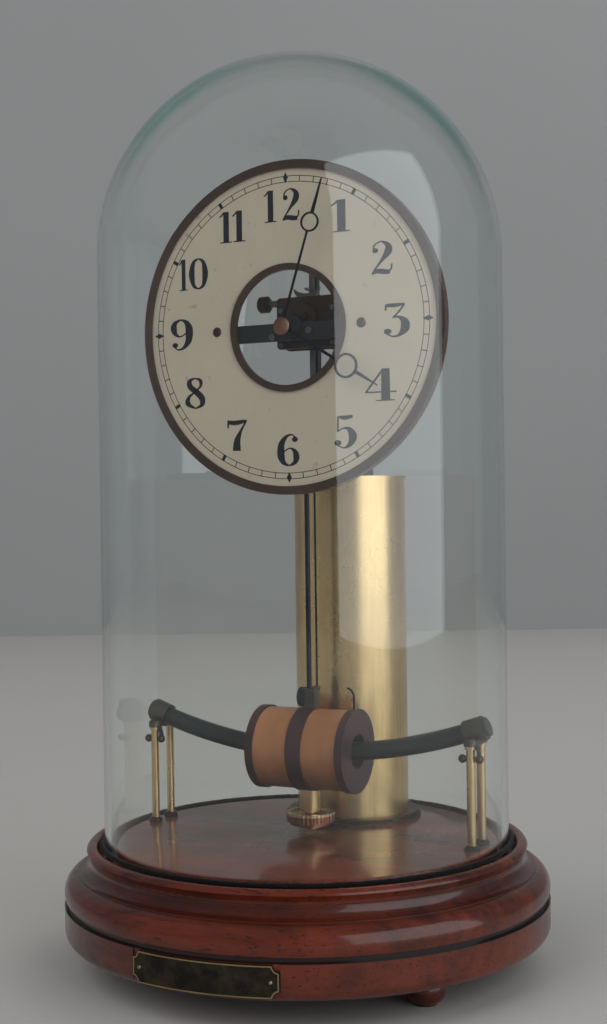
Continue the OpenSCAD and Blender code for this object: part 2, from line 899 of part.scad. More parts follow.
// Deep hoop round the dial with a lip over its edge
module dial_bezel() {
    lip_t = 0.9;
    color([0.22, 0.13, 0.08])
        difference() {
            facing(0, 0, -dial_face_y - lip_t, bezel_depth)
                circle(d = dial_d, $fn = 128);
            facing(0, 0, -dial_face_y, bezel_depth)
                circle(d = dial_d - 2.4, $fn = 128);
            facing(0, 0, -dial_face_y - lip_t - 1, lip_t + 2)
                circle(d = dial_d - 2 * bezel_w, $fn = 128);
        }
}

// Ring that lines the dial's centre hole
module dial_inner_ring() {
    color([0.2, 0.11, 0.07])
        difference() {
            union() {
                facing(0, 0, -dial_face_y - 0.8, 0.8)
                    circle(d = hole_d + 2 * ring_w, $fn = 96);
                facing(0, 0, -dial_face_y, dial_t)
                    circle(d = hole_d + 1.5, $fn = 96);
            }
            facing(0, 0, -dial_face_y - 2, dial_t + 4)
                circle(d = hole_d, $fn = 96);
        }
}

// Two round-headed screws through the dial into the bar
module dial_screws() {
    color([0.4, 0.28, 0.14])
        for (side = [-1, 1])
            translate([side * dial_screw_x, 0, centre_z]) {
                along_y(0, 0, -dial_face_y, crossbar_back_y, 1);
                translate([0, -dial_face_y, 0])
                    rotate([90, 0, 0])
                        rotate_extrude($fn = 32)
                            intersection() {
                                translate([0, -1.6])
                                    circle(r = 2.7);
                                square([2.1, 1.1]);
                            }
            }
}

// Curved bar magnet
module magnet_bar() {
    color([0.03, 0.04, 0.045])
        translate([0, swing_y, magnet_centre_z])
            rotate([90, 0, 0])
                rotate(-90 - end_tilt)
                    rotate_extrude(angle = 2 * end_tilt, $fn = 96)
                        translate([magnet_r, 0])
                            circle(r = magnet_bar_r, $fn = 48);
}

// Clasp over each end of the magnet with an ear down to each pillar
module magnet_yokes() {
    outer_r = magnet_bar_r + yoke_t;
    ear_h = 2.6;
    color([0.3, 0.29, 0.24])
        for (side = [-1, 1])
            difference() {
                union() {
                    translate([side * pillar_x, swing_y, pillar_axis_z])
                        rotate([0, -side * pillar_tilt, 0])
                            along_x(0, 0, -yoke_w / 2, yoke_w / 2, outer_r);
                    translate([side * pillar_x - ear_r, swing_y - pillar_pitch / 2, pillar_top])
                        cube([2 * ear_r, pillar_pitch, ear_h]);
                    for (end = [-1, 1])
                        translate([side * pillar_x, swing_y + end * pillar_pitch / 2, pillar_top])
                            cylinder(h = ear_h, r = ear_r);
                }
                translate([side * pillar_x, swing_y, pillar_axis_z])
                    rotate([0, -side * pillar_tilt, 0])
                        along_x(0, 0, -2 * yoke_w, 2 * yoke_w, magnet_bar_r + play);
                for (end = [-1, 1])
                    translate([side * pillar_x, swing_y + end * pillar_pitch / 2, pillar_top - 1])
                        cylinder(h = ear_h + 2, r = 1 + play);
            }
}

// Round-headed screws down through the ears into the pillars
module yoke_screws() {
    color([0.25, 0.22, 0.2])
        for (side = [-1, 1])
            for (end = [-1, 1])
                translate([side * pillar_x, swing_y + end * pillar_pitch / 2, pillar_top + 2.6]) {
                    translate([0, 0, -6])
                        cylinder(h = 6, r = 1, $fn = 32);
                    intersection() {
                        translate([0, 0, -0.6])
                            sphere(r = 2, $fn = 32);
                        translate([-3, -3, 0])
                            cube(6);
                    }
                }
}

// Four brass pillars, each with its collar at the foot and a ring under the ear
module magnet_pillars() {
    color([0.8, 0.65, 0.33])
        for (side = [-1, 1])
            for (end = [-1, 1])
                translate([side * pillar_x, swing_y + end * pillar_pitch / 2, deck_z])
                    difference() {
                        union() {
                            cylinder(h = pillar_top - deck_z, r = pillar_r);
                            cylinder(h = collar_h, r = collar_r);
                            translate([0, 0, collar_h])
                                cylinder(h = 0.8, r = pillar_r + 0.6);
                            translate([0, 0, pillar_top - deck_z - 1.2])
                                cylinder(h = 1.2, r = pillar_r + 0.6);
                        }
                        translate([0, 0, pillar_top - deck_z - 4])
                            cylinder(h = 5, r = 1 + play);
                    }
}

// Thin strip that the pendulum hangs and flexes on
module suspension_spring() {
    color([0.5, 0.55, 0.65])
        translate([-0.12, strap_y - 1.2, pivot_z - spring_l])
            cube([0.24, 2.2, spring_l + 0.7]);
}

// Flat strap below the spring, the chops that grip it and the block that holds the rod
module pendulum_strap() {
    front = swing_y - rod_d / 2 - 1.6;
    back = strap_y + 1;
    color([0.25, 0.23, 0.2])
        difference() {
            union() {
                translate([-2.2, strap_y - 1.4, strap_top])
                    cube([4.4, 2.6, chops_h]);
                translate([-strap_w / 2, strap_y - strap_t / 2, crosshead_z])
                    cube([strap_w, strap_t, strap_top - crosshead_z]);
                translate([-2.6, front, crosshead_z])
                    cube([5.2, back - front, crosshead_h]);
            }
            translate([0, swing_y, crosshead_z - 1])
                cylinder(h = 5, r = rod_d / 2 + play);
        }
}

// Round rod from the crosshead down into the clamp on the coil
module pendulum_rod() {
    color([0.13, 0.12, 0.14])
        translate([0, swing_y, clamp_z + 2])
            cylinder(h = crosshead_z + 4 - clamp_z - 2, d = rod_d, $fn = 32);
}

// Silver pin that stands forward from the strap between the fork's horns
module contact_pin() {
    color([0.82, 0.82, 0.84])
        along_y(0, centre_z + pin_up, fork_y - 0.6, strap_y - strap_t / 2, pin_r);
}

// Tube and cheeks that the coil is wound on
module coil_former() {
    color([0.1, 0.05, 0.05])
        difference() {
            union() {
                along_x(swing_y, coil_mid_z, -coil_l / 2, coil_l / 2, bore_r + former_wall);
                for (x = [-coil_l / 2, coil_l / 2 - cheek_t])
                    along_x(swing_y, coil_mid_z, x, x + cheek_t, coil_r);
            }
            along_x(swing_y, coil_mid_z, -coil_l, coil_l, bore_r);
        }
}

// Copper winding inside the covers
module coil_windings() {
    half = coil_l / 2 - cheek_t;
    color([0.6, 0.3, 0.15])
        difference() {
            along_x(swing_y, coil_mid_z, -half, half, winding_r);
            along_x(swing_y, coil_mid_z, -coil_l, coil_l, bore_r + former_wall);
        }
}

// Tan covers over the winding, one each side of the band
module coil_wraps() {
    half = coil_l / 2 - cheek_t;
    color([0.78, 0.52, 0.35])
        for (x = [-half, band_w / 2])
            difference() {
                along_x(swing_y, coil_mid_z, x, x + half - band_w / 2, wrap_r);
                along_x(swing_y, coil_mid_z, x - 1, x + half + 1, winding_r);
            }
}

// Dark band round the coil's middle that the clamp and the stud grip
module coil_band() {
    color([0.09, 0.06, 0.06])
        difference() {
            along_x(swing_y, coil_mid_z, -band_w / 2, band_w / 2, coil_r);
            along_x(swing_y, coil_mid_z, -coil_l, coil_l, winding_r);
        }
}

// Clamp on top of the band, with the terminal arm behind it
module coil_clamp() {
    arm_h = 2;
    color([0.42, 0.42, 0.4])
        difference() {
            union() {
                translate([-1.6, swing_y - clamp_w / 2, coil_mid_z])
                    cube([clamp_w, clamp_w, coil_r + clamp_h]);
                translate([-1.2, swing_y, terminal_z - arm_h])
                    cube([2.4, strap_y - swing_y + 1, arm_h]);
            }
            along_x(swing_y, coil_mid_z, -coil_l, coil_l, coil_r);
            translate([0, swing_y, clamp_z + 2])
                cylinder(h = clamp_h, r = rod_d / 2 + play);
            translate([0, strap_y, terminal_z - arm_h - 1])
                cylinder(h = arm_h + 2, r = lead_r + play, $fn = 24);
        }
}

// Milled nut that tightens the clamp
module clamp_nut() {
    ridges = 20;
    color([0.04, 0.04, 0.05])
        translate([-1.6, swing_y, clamp_nut_z])
            rotate([0, -90, 0])
                linear_extrude(height = 2.6)
                    difference() {
                        circle(r = clamp_nut_r, $fn = 40);
                        for (i = [0:ridges - 1])
                            rotate(360 / ridges * i)
                                translate([clamp_nut_r + 0.15, 0])
                                    circle(r = 0.35, $fn = 8);
                    }
}

// Thin leads: one up to the strap's block, one standing up from the right cheek
module coil_leads() {
    tail_x = coil_l / 2 - cheek_t / 2;
    color([0.1, 0.07, 0.06]) {
        translate([0, strap_y, terminal_z - 2])
            cylinder(h = crosshead_z - terminal_z + 2, r = lead_r, $fn = 24);
        translate([tail_x, swing_y, coil_mid_z + coil_r]) {
            cylinder(h = 5, r = lead_r, $fn = 24);
            translate([-4, 0, 5])
                rotate([90, 0, 0])
                    rotate_extrude(angle = 75, $fn = 48)
                        translate([4, 0])
                            circle(r = lead_r, $fn = 24);
        }
    }
}

// Brass sleeve and thread under the coil
module rating_stud() {
    color([0.76, 0.62, 0.34])
        difference() {
            union() {
                translate([0, swing_y, nut_top + gap])
                    cylinder(h = coil_mid_z - nut_top - gap, r = sleeve_r);
                translate([0, swing_y, nut_z + 0.4])
                    cylinder(h = coil_mid_z - nut_z - 0.4, r = thread_r);
            }
            along_x(swing_y, coil_mid_z, -coil_l, coil_l, coil_r);
        }
}

// Knurled nut with a dished top that regulates the clock
module rating_nut() {
    flutes = 36;
    color([0.72, 0.42, 0.26])
        translate([0, swing_y, nut_z])
            difference() {
                rotate_extrude()
                    difference() {
                        union() {
                            square([sleeve_r + 0.4, nut_hub_h]);
                            translate([0, nut_hub_h])
                                square([nut_r - 1.4, 1.4]);
                            translate([0, nut_hub_h + 1.4])
                                square([nut_r, nut_rim_h - 1.4]);
                        }
                        translate([sleeve_r + 0.6, nut_hub_h + nut_rim_h + 6.6])
                            circle(r = 7.6, $fn = 96);
                        translate([0, -1])
                            square([thread_r + play, nut_hub_h + nut_rim_h + 2]);
                    }
                for (i = [0:flutes - 1])
                    rotate(360 / flutes * i)
                        translate([nut_r + 0.3, 0, nut_hub_h + 1.4])
                            cylinder(h = nut_rim_h, r = 0.5, $fn = 6);
            }
}

// Fork with two pointed horns, rocking on its stud, and the arm that carries the pawl
module contact_fork() {
    lug_x = ratchet_x - 1.6;
    belly_up = valley_up - 3.2;
    chord_r = (pow(horn_half, 2) + pow(horn_up - valley_up, 2)) / (2 * (horn_up - valley_up));
    belly_r = (pow(horn_half, 2) + pow(horn_up - belly_up, 2)) / (2 * (horn_up - belly_up));
    color([0.72, 0.72, 0.7])
        difference() {
            union() {
                facing(0, 0, fork_y, fork_t)
                    difference() {
                        union() {
                            translate([0, belly_up + belly_r])
                                circle(r = belly_r, $fn = 96);
                            polygon([[-2, valley_up - 1], [2, valley_up - 1], [1.1, valley_up - 5],
                                [1.1, fork_pivot_up], [-1.1, fork_pivot_up], [-1.1, valley_up - 5]]);
                            translate([0, fork_pivot_up])
                                circle(r = 2.1, $fn = 32);
                            translate([0, fork_pivot_up - 0.9])
                                square([lug_x + 1.2, 1.8]);
                        }
                        translate([0, valley_up + chord_r])
                            circle(r = chord_r, $fn = 96);
                    }
                translate([lug_x, fork_y, centre_z + fork_pivot_up - 0.9])
                    cube([1.2, pawl_y + 1.3 - fork_y, 1.8]);
                along_x(pawl_y + 0.5, centre_z + fork_pivot_up, lug_x + 0.6, ratchet_x + ratchet_t + 0.6, 0.5);
            }
            along_y(0, centre_z + fork_pivot_up, fork_y - 1, fork_y + fork_t + 1, fork_stud_r + play);
        }
}

// Pawl that stands on the fork's pin behind the ratchet wheel
module drive_pawl() {
    color([0.6, 0.62, 0.66])
        translate([ratchet_x, pawl_y, centre_z])
            difference() {
                union() {
                    along_x(0.5, fork_pivot_up, 0, ratchet_t, 1.1);
                    translate([0, 0, fork_pivot_up])
                        cube([ratchet_t, 1, worm_up - fork_pivot_up - 0.6]);
                }
                along_x(0.5, fork_pivot_up, -1, ratchet_t + 1, 0.5 + play);
                translate([-1, 0.6, worm_up - 3])
                    rotate([-12, 0, 0])
                        cube([ratchet_t + 2, 2, 5]);
            }
}

// Arbor with its single-start worm
module worm_arbor() {
    turns = 7;
    worm_l = turns * worm_lead;
    color([0.55, 0.5, 0.42]) {
        along_x(worm_y, centre_z + worm_up, knob_x + knob_l - 0.2, ratchet_x + ratchet_t + 0.8, arbor_r);
        along_x(worm_y, centre_z + worm_up, knob_x + knob_l, left_cock_x - gap, 1.5);
        along_x(worm_y, centre_z + worm_up, left_cock_x + cock_t + gap, worm_wheel_x - worm_l / 2, 1.5);
        translate([worm_wheel_x - worm_l / 2, worm_y, centre_z + worm_up])
            rotate([0, 90, 0])
                linear_extrude(height = worm_l, twist = -360 * turns, slices = 8 * turns)
                    translate([worm_depth, 0])
                        circle(r = worm_pitch_r, $fn = 12);
    }
}

// Ratchet wheel with long hooked teeth
module ratchet_wheel() {
    step = 360 / ratchet_teeth;
    color([0.5, 0.48, 0.45])
        translate([ratchet_x, worm_y, centre_z + worm_up])
            rotate([0, 90, 0])
                linear_extrude(height = ratchet_t)
                    difference() {
                        polygon([for (i = [0:ratchet_teeth - 1])
                            for (p = [[0.62, 0], [0.7, 0.34], [0.84, 0.66], [1, 1], [0.74, 0.9]])
                                let (a = -step * (i + p[1])) ratchet_r * p[0] * [cos(a), sin(a)]]);
                        circle(r = arbor_r, $fn = 32);
                        for (i = [0:3])
                            rotate(90 * i)
                                translate([ratchet_r * 0.36, 0])
                                    circle(r = ratchet_r * 0.13, $fn = 24);
                    }
}

// Milled knob on the free end of the arbor
module setting_knob() {
    ridges = 24;
    color([0.2, 0.17, 0.14])
        translate([knob_x, worm_y, centre_z + worm_up])
            rotate([0, 90, 0])
                difference() {
                    union() {
                        translate([0, 0, 0.6])
                            linear_extrude(height = knob_l - 1.2)
                                difference() {
                                    circle(d = knob_d, $fn = 48);
                                    for (i = [0:ridges - 1])
                                        rotate(360 / ridges * i)
                                            translate([knob_d / 2 + 0.1, 0])
                                                circle(r = 0.3, $fn = 4);
                                }
                        cylinder(h = knob_l, d = knob_d - 1.4);
                    }
                    translate([0, 0, knob_l - 0.2])
                        cylinder(h = 1, r = arbor_r);
                }
}

// Wheel turned by the worm, on one arbor with the drive pinion
module worm_wheel() {
    mesh_angle = 90;
    color([0.7, 0.56, 0.3]) {
        facing(worm_wheel_x, worm_wheel_up, worm_y - worm_wheel_t / 2, worm_wheel_t)
            difference() {
                gear_outline(worm_wheel_teeth, worm_module, mesh_angle);
                for (i = [0:3])
                    rotate(90 * i + 45)
                        translate([worm_wheel_r * 0.55, 0])
                            circle(r = worm_wheel_r * 0.24, $fn = 32);
            }
        facing(worm_wheel_x, worm_wheel_up, front_inside_y + 0.4, worm_y - worm_wheel_t / 2 - front_inside_y - 0.4)
            gear_outline(drive_leaves, drive_module, 180 + drive_angle);
        along_y(worm_wheel_x, centre_z + worm_wheel_up, front_plate_y, back_face_y - 0.2, pivot_r);
    }
}

// Centre wheel on the arbor that carries the minute hand
module centre_wheel() {
    half_tooth = 180 / centre_teeth;
    color([0.72, 0.58, 0.32]) {
        facing(0, 0, front_inside_y + 0.6, 0.9)
            difference() {
                gear_outline(centre_teeth, drive_module, drive_angle + half_tooth);
                for (i = [0:3])
                    rotate(90 * i)
                        translate([centre_teeth * drive_module * 0.28, 0])
                            circle(r = centre_teeth * drive_module * 0.12, $fn = 32);
            }
        along_y(0, centre_z, minute_hand_y - 0.6, front_inside_y + 0.6, arbor_r);
        along_y(0, centre_z, front_inside_y, back_face_y - 0.2, pivot_r);
    }
}

// Cannon pinion on the centre arbor, with its pipe to the minute hand
module cannon_pinion() {
    color([0.5, 0.48, 0.44])
        difference() {
            union() {
                facing(0, 0, front_plate_y - 1.6, 1.2)
                    gear_outline(cannon_leaves, motion_module, minute_wheel_angle);
                along_y(0, centre_z, minute_hand_y, front_plate_y - 1, cannon_r);
            }
            along_y(0, centre_z, minute_hand_y - 1, front_plate_y + 1, arbor_r + play);
        }
}

// A hand of the given length: a slim arm, a ring and a pointed tip
module hand_outline(length, ring_at, ring_r, band, arm, hub_r, bore_r) {
    difference() {
        union() {
            circle(r = hub_r, $fn = 48);
            polygon([[-arm * 1.3, 0], [arm * 1.3, 0], [arm, ring_at - ring_r + 0.3], [-arm, ring_at - ring_r + 0.3]]);
            translate([0, ring_at])
                circle(r = ring_r, $fn = 48);
            polygon([[-0.8, ring_at + ring_r - 0.4], [0.8, ring_at + ring_r - 0.4], [0.25, length], [-0.25, length]]);
        }
        circle(r = bore_r, $fn = 48);
        translate([0, ring_at])
            circle(r = ring_r - band, $fn = 48);
    }
}

// Minute hand on the end of the cannon's pipe
module minute_hand() {
    color([0.05, 0.06, 0.09])
        facing(0, 0, minute_hand_y, hand_t)
            rotate(-minute_angle)
                hand_outline(minute_len, minute_ring_at, minute_ring_d / 2, 0.75, 0.42, 2.4, cannon_r);
}

// Coppery cap over the hands' centre
module centre_cap() {
    color([0.55, 0.33, 0.24])
        translate([0, minute_hand_y, centre_z])
            rotate([90, 0, 0])
                difference() {
                    rotate_extrude($fn = 48)
                        intersection() {
                            translate([0, -4.4])
                                circle(r = 6, $fn = 96);
                            square([cap_r, 2]);
                        }
                    translate([0, 0, -1])
                        cylinder(h = 1.8, r = cannon_r + 0.2);
                }
}

// Minute wheel with its pinion, loose on the front plate's stud
module minute_wheel() {
    mesh = minute_wheel_angle + 180;
    wheel_half = 180 / minute_teeth;
    color([0.72, 0.58, 0.32])
        difference() {
            union() {
                facing(minute_wheel_x, minute_wheel_up, front_plate_y - 1.4, 0.8)
                    gear_outline(minute_teeth, motion_module, mesh + wheel_half);
                facing(minute_wheel_x, minute_wheel_up, front_plate_y - 3, 1.7)
                    gear_outline(hour_leaves, hour_module, mesh);
            }
            along_y(minute_wheel_x, centre_z + minute_wheel_up, front_plate_y - 5, front_plate_y, 0.6 + play);
        }
}

// Hour wheel with its pipe round the cannon's
module hour_wheel() {
    wheel_half = 180 / hour_teeth;
    color([0.72, 0.58, 0.32])
        difference() {
            union() {
                facing(0, 0, front_plate_y - 2.9, 0.9)
                    gear_outline(hour_teeth, hour_module, minute_wheel_angle + wheel_half);
                along_y(0, centre_z, hour_hand_y, front_plate_y - 2, hour_pipe_r);
            }
            along_y(0, centre_z, hour_hand_y - 1, front_plate_y, cannon_r + play);
        }
}

// Hour hand on the end of the hour pipe
module hour_hand() {
    color([0.05, 0.06, 0.09])
        facing(0, 0, hour_hand_y, hand_t)
            rotate(-hour_angle)
                hand_outline(hour_len, hour_ring_at, hour_ring_d / 2, 1, 0.6, 3, hour_pipe_r);
}

wooden_base();
bun_feet();
base_screws();
nameplate();
dome_seal();
glass_dome();
column_flange();
battery_tube();
column_cap();
contact_stud();
battery_cell();
battery_cover();
battery_leaf();
supply_wire();
movement_bracket();
bracket_screws();
suspension_cock();
movement_bridge();
back_plate();
front_plate();
plate_pillars();
plate_screws();
arbor_cocks();
backstop_click();
dial_crossbar();
crossbar_screws();
dial_plate();
dial_bezel();
dial_inner_ring();
dial_screws();
magnet_bar();
magnet_yokes();
yoke_screws();
magnet_pillars();
suspension_spring();
pendulum_strap();
pendulum_rod();
contact_pin();
coil_former();
coil_windings();
coil_wraps();
coil_band();
coil_clamp();
clamp_nut();
coil_leads();
rating_stud();
rating_nut();
contact_fork();
drive_pawl();
worm_arbor();
ratchet_wheel();
setting_knob();
worm_wheel();
centre_wheel();
cannon_pinion();
minute_hand();
centre_cap();
minute_wheel();
hour_wheel();
hour_hand();
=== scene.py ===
"""Dresses the dome clock: finishes for every part, dial figures, soft seal, trim and stage."""
import json
import math
import random

import bmesh
import bpy
from mathutils import Matrix, Vector


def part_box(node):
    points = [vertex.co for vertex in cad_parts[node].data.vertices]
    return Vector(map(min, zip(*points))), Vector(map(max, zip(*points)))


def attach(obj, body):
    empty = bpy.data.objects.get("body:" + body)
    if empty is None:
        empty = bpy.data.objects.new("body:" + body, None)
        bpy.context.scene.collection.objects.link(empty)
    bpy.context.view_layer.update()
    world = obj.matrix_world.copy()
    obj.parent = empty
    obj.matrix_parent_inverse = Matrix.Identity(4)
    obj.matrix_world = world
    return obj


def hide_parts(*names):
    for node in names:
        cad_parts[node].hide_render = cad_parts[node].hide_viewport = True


bl_info = {
    "name": "Dome Clock",
    "version": (1, 0, 0),
    "blender": (4, 5, 0),
    "location": "View3D > Sidebar > Dome Clock",
    "description": "Finishes and fine details of a battery clock under a glass dome",
    "category": "Object",
}

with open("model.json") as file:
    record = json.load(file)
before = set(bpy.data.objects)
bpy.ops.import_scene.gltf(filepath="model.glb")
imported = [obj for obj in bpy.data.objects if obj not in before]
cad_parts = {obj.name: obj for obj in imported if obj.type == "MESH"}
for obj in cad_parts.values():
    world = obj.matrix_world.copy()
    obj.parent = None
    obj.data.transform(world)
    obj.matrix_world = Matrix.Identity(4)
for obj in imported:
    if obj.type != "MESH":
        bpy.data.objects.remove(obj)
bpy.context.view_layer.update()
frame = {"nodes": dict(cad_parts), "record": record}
BODY_OF = {n: body for body, nodes in frame["record"]["behaviour"]["bodies"].items() for n in nodes}
SLOT_OF = {part["node"]: part["material_slot"] for part in frame["record"]["subparts"]}
MM = 0.001


def low(node):
    return Vector(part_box(node)[0])


def high(node):
    return Vector(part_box(node)[1])


def middle(node):
    return (low(node) + high(node)) / 2


DECK = low("column_flange").z
DIAL = middle("dial_bezel")
DIAL_FACE = low("dial_plate").y
COIL = middle("coil_band")
DOME_RADIUS = (high("glass_dome").x - low("glass_dome").x) / 2
CROWN = high("glass_dome").z - DOME_RADIUS

# Heights at which a finish or a painted shade changes
DARK_LINE = DECK - 23.8 * MM
# Middle of the base's cove, where a shade is painted on the wood
COVE = DECK - 9.2 * MM
PILLAR_FOOT = DECK + 2.2 * MM
NUT_RIM = high("rating_nut").z - 1.3 * MM

# Width of one turn on the coil, the distance within which points are merged, a quarter turn
WIRE_PITCH = 0.42 * MM
WELD = 1e-7
UPRIGHT = Matrix.Rotation(math.pi / 2, 4, "X")


# Sizes and colours


def length(name, default, description):
    return bpy.props.FloatProperty(
        name=name, description=description, default=default, min=0.0, precision=5,
        subtype="DISTANCE", unit="LENGTH")


def colour(name, default, description):
    return bpy.props.FloatVectorProperty(
        name=name, description=description, default=default, min=0.0, max=1.0, size=3,
        subtype="COLOR")


class DomeClockSizes(bpy.types.PropertyGroup):
    figure_height: length("Figure height", 13.6 * MM, "Height of the hour figures")
    figure_radius: length("Figure radius", 51.6 * MM, "Radius of the circle of figure middles")
    track_outer: length("Minute track outside", 63.6 * MM, "Radius of the minute track's outer line")
    track_inner: length("Minute track inside", 61.2 * MM, "Radius of the minute track's inner line")
    line_width: length("Line width", 0.32 * MM, "Width of the minute track's lines")
    tuft: length("Tuft", 0.35 * MM, "How far the tufts of the soft cord stand out")
    bead: length("Bead", 0.5 * MM, "Width of the raised border on the plate")
    backdrop_distance: length("Backdrop distance", 1.6, "Distance from the clock to the wall behind it")


class DomeClockColours(bpy.types.PropertyGroup):
    wood_light: colour("Light wood", (0.142, 0.022, 0.0075), "Mahogany in its light grain")
    # Also the colour of the shade painted into the base's cove
    wood_dark_and_shade: colour("Dark wood", (0.021, 0.0045, 0.003), "Mahogany in its dark grain and in the coves")
    brass: colour("Brass", (0.70, 0.50, 0.25), "Lacquered brass")
    brass_tarnish: colour("Tarnish", (0.30, 0.165, 0.065), "Brass where the lacquer has gone")
    dial: colour("Dial", (0.56, 0.465, 0.36), "Paint of the dial")
    ink: colour("Figures", (0.012, 0.014, 0.018), "Paint of the dial's figures")
    bezel: colour("Bezel", (0.055, 0.028, 0.017), "Bronzed hoop and ring of the dial")
    cover: colour("Coil cover", (0.38, 0.155, 0.062), "Tan cover of the coil")
    cheek: colour("Coil cheeks", (0.020, 0.007, 0.007), "Dark cheeks and band of the coil")
    magnet: colour("Magnet", (0.012, 0.016, 0.017), "Japanned bar magnet")
    glass: colour("Glass", (0.975, 0.998, 0.99), "Blown glass of the dome")
    glass_edge: colour("Glass edge", (0.08, 0.46, 0.36), "Tint of the dome where it is seen edge-on")
    wall: colour("Wall", (0.36, 0.365, 0.365), "Backdrop behind the clock")
    floor: colour("Floor", (0.50, 0.485, 0.465), "Floor that the clock stands on")


# Shader maths


class Sum:
    """One output of a node, which can be used in sums with other outputs and numbers."""

    def __init__(self, tree, socket):
        self.tree = tree
        self.socket = socket

    def maths(self, operation, *values):
        node = self.tree.nodes.new("ShaderNodeMath")
        node.operation = operation
        for socket, value in zip(node.inputs, values):
            if isinstance(value, Sum):
                self.tree.links.new(value.socket, socket)
            else:
                socket.default_value = value
        return Sum(self.tree, node.outputs[0])

    def __add__(self, other):
        return self.maths("ADD", self, other)

    def __sub__(self, other):
        return self.maths("SUBTRACT", self, other)

    def __mul__(self, other):
        return self.maths("MULTIPLY", self, other)

    def __abs__(self):
        return self.maths("ABSOLUTE", self)


class Finish:
    """A material under construction."""

    def __init__(self, name):
        self.material = bpy.data.materials.new(name)
        self.material.use_nodes = True
        self.tree = self.material.node_tree
        self.tree.nodes.clear()
        self.place = self.node("ShaderNodeTexCoord", output="Object")

    def node(self, kind, settings=None, values=None, output=0):
        node = self.tree.nodes.new(kind)
        for key, value in (settings or {}).items():
            setattr(node, key, value)
        for key, value in (values or {}).items():
            if isinstance(value, Sum):
                self.tree.links.new(value.socket, node.inputs[key])
            elif node.inputs[key].type == "RGBA" and len(value) == 3:
                node.inputs[key].default_value = (*value, 1.0)
            else:
                node.inputs[key].default_value = value
        return Sum(self.tree, node.outputs[output])

    def noise(self, scale, detail, roughness, stretch=(1.0, 1.0, 1.0), distortion=0.0):
        """Noise in the piece's own coordinates, finer along an axis with a larger stretch."""
        place = self.node("ShaderNodeMapping", None, {"Vector": self.place, "Scale": stretch})
        return self.node("ShaderNodeTexNoise", None, {
            "Vector": place, "Scale": scale, "Detail": detail, "Roughness": roughness,
            "Distortion": distortion})

    def mask(self, value, start, stop):
        """Rises from 0 where the value is at start to 1 where it is at stop."""
        return self.node("ShaderNodeMapRange", {"clamp": True}, {
            "Value": value, "From Min": start, "From Max": stop, "To Min": 0.0, "To Max": 1.0})

    def mix(self, factor, first, second):
        values = {0: factor, 6: first, 7: second}
        return self.node("ShaderNodeMix", {"data_type": "RGBA"}, values, output=2)

    def sine(self, angle):
        return angle.maths("SINE", angle)

    def axis(self, name):
        return self.node("ShaderNodeSeparateXYZ", None, {0: self.place}, output=name)

    def bump(self, height, distance, strength):
        values = {"Height": height, "Distance": distance, "Strength": strength}
        return self.node("ShaderNodeBump", None, values)

    def shader(self, **values):
        """The surface shader, with an underscore for each space in an input's name."""
        names = {key.replace("_", " "): value for key, value in values.items()}
        return self.node("ShaderNodeBsdfPrincipled", None, names)

    def done(self, shader):
        end = self.tree.nodes.new("ShaderNodeOutputMaterial")
        self.tree.links.new(shader.socket, end.inputs["Surface"])
        return self.material


def tint(shade, gain):
    return tuple(min(1.0, channel * gain) for channel in shade)


def polished_mahogany(c):
    f = Finish("polished_mahogany")
    figure = f.noise(9.0, 3.0, 0.5, (1.0, 3.2, 3.2), 0.6)
    streak = f.noise(60.0, 5.0, 0.6, (0.35, 4.0, 4.0), 0.3)
    pores = f.noise(420.0, 2.0, 0.5, (0.16, 2.6, 2.6))
    grain = f.mix(f.mask(streak * 0.6 + figure * 0.5, 0.38, 0.72), c.wood_dark_and_shade, c.wood_light)
    warm = f.mix(f.mask(figure, 0.5, 0.75) * 0.55, grain, tint(c.wood_light, 1.45))
    pore = f.mask(pores, 0.60, 0.70)
    flecked = f.mix(pore * 0.75, warm, tint(c.wood_dark_and_shade, 0.55))
    height = f.axis("Z")
    line = f.mask(abs(height - DARK_LINE), 1.3 * MM, 1.0 * MM)
    # Painted shade: the cove is darkened towards the dark wood colour
    cove_shade = f.mask(abs(height - COVE), 4.2 * MM, 2.4 * MM)
    shaded = f.mix(cove_shade * 0.45, flecked, tint(c.wood_dark_and_shade, 0.8))
    inked = f.mix(line * 0.92, shaded, (0.006, 0.004, 0.004))
    wear = f.noise(26.0, 4.0, 0.65)
    scratches = f.noise(300.0, 3.0, 0.7, (0.2, 1.0, 1.0))
    return f.done(f.shader(
        Base_Color=inked, Roughness=f.mask(wear, 0.2, 0.9) * 0.2 + 0.22, Specular_IOR_Level=0.25,
        Coat_Weight=0.5, Coat_Roughness=0.09,
        Normal=f.bump(pore * -0.5 + scratches * 0.1, 0.00003, 0.25)))


def lacquered_brass(name, bright, dull, scale, roughness, streaks=(1.0, 1.0, 0.06), foot=None):
    """Cloudy brass, darker below the height of a foot where one is given."""
    f = Finish(name)
    cloud = f.noise(22.0 * scale, 5.0, 0.62, (1.0, 1.0, 0.7), 0.4)
    spots = f.noise(380.0 * scale, 4.0, 0.7)
    lines = f.noise(800.0 * scale, 1.0, 0.5, streaks)
    tarnish = f.mask(cloud, 0.46, 0.74)
    speck = f.mask(spots, 0.63, 0.76)
    base = f.mix(tarnish * 0.55, bright, dull)
    freckled = f.mix(speck * 0.4, base, tint(dull, 0.55))
    fine = f.mix(f.mask(lines, 0.4, 0.65) * 0.3, freckled, tint(bright, 1.2))
    if foot is not None:
        fine = f.mix(f.mask(f.axis("Z"), foot + 0.3 * MM, foot), fine, (0.05, 0.034, 0.024))
    dullness = f.mask(cloud, 0.2, 0.9) * 0.1 + roughness + speck * 0.06
    return f.done(f.shader(
        Base_Color=fine, Metallic=1.0, Roughness=dullness, Normal=f.bump(lines, 0.000006, 0.2)))


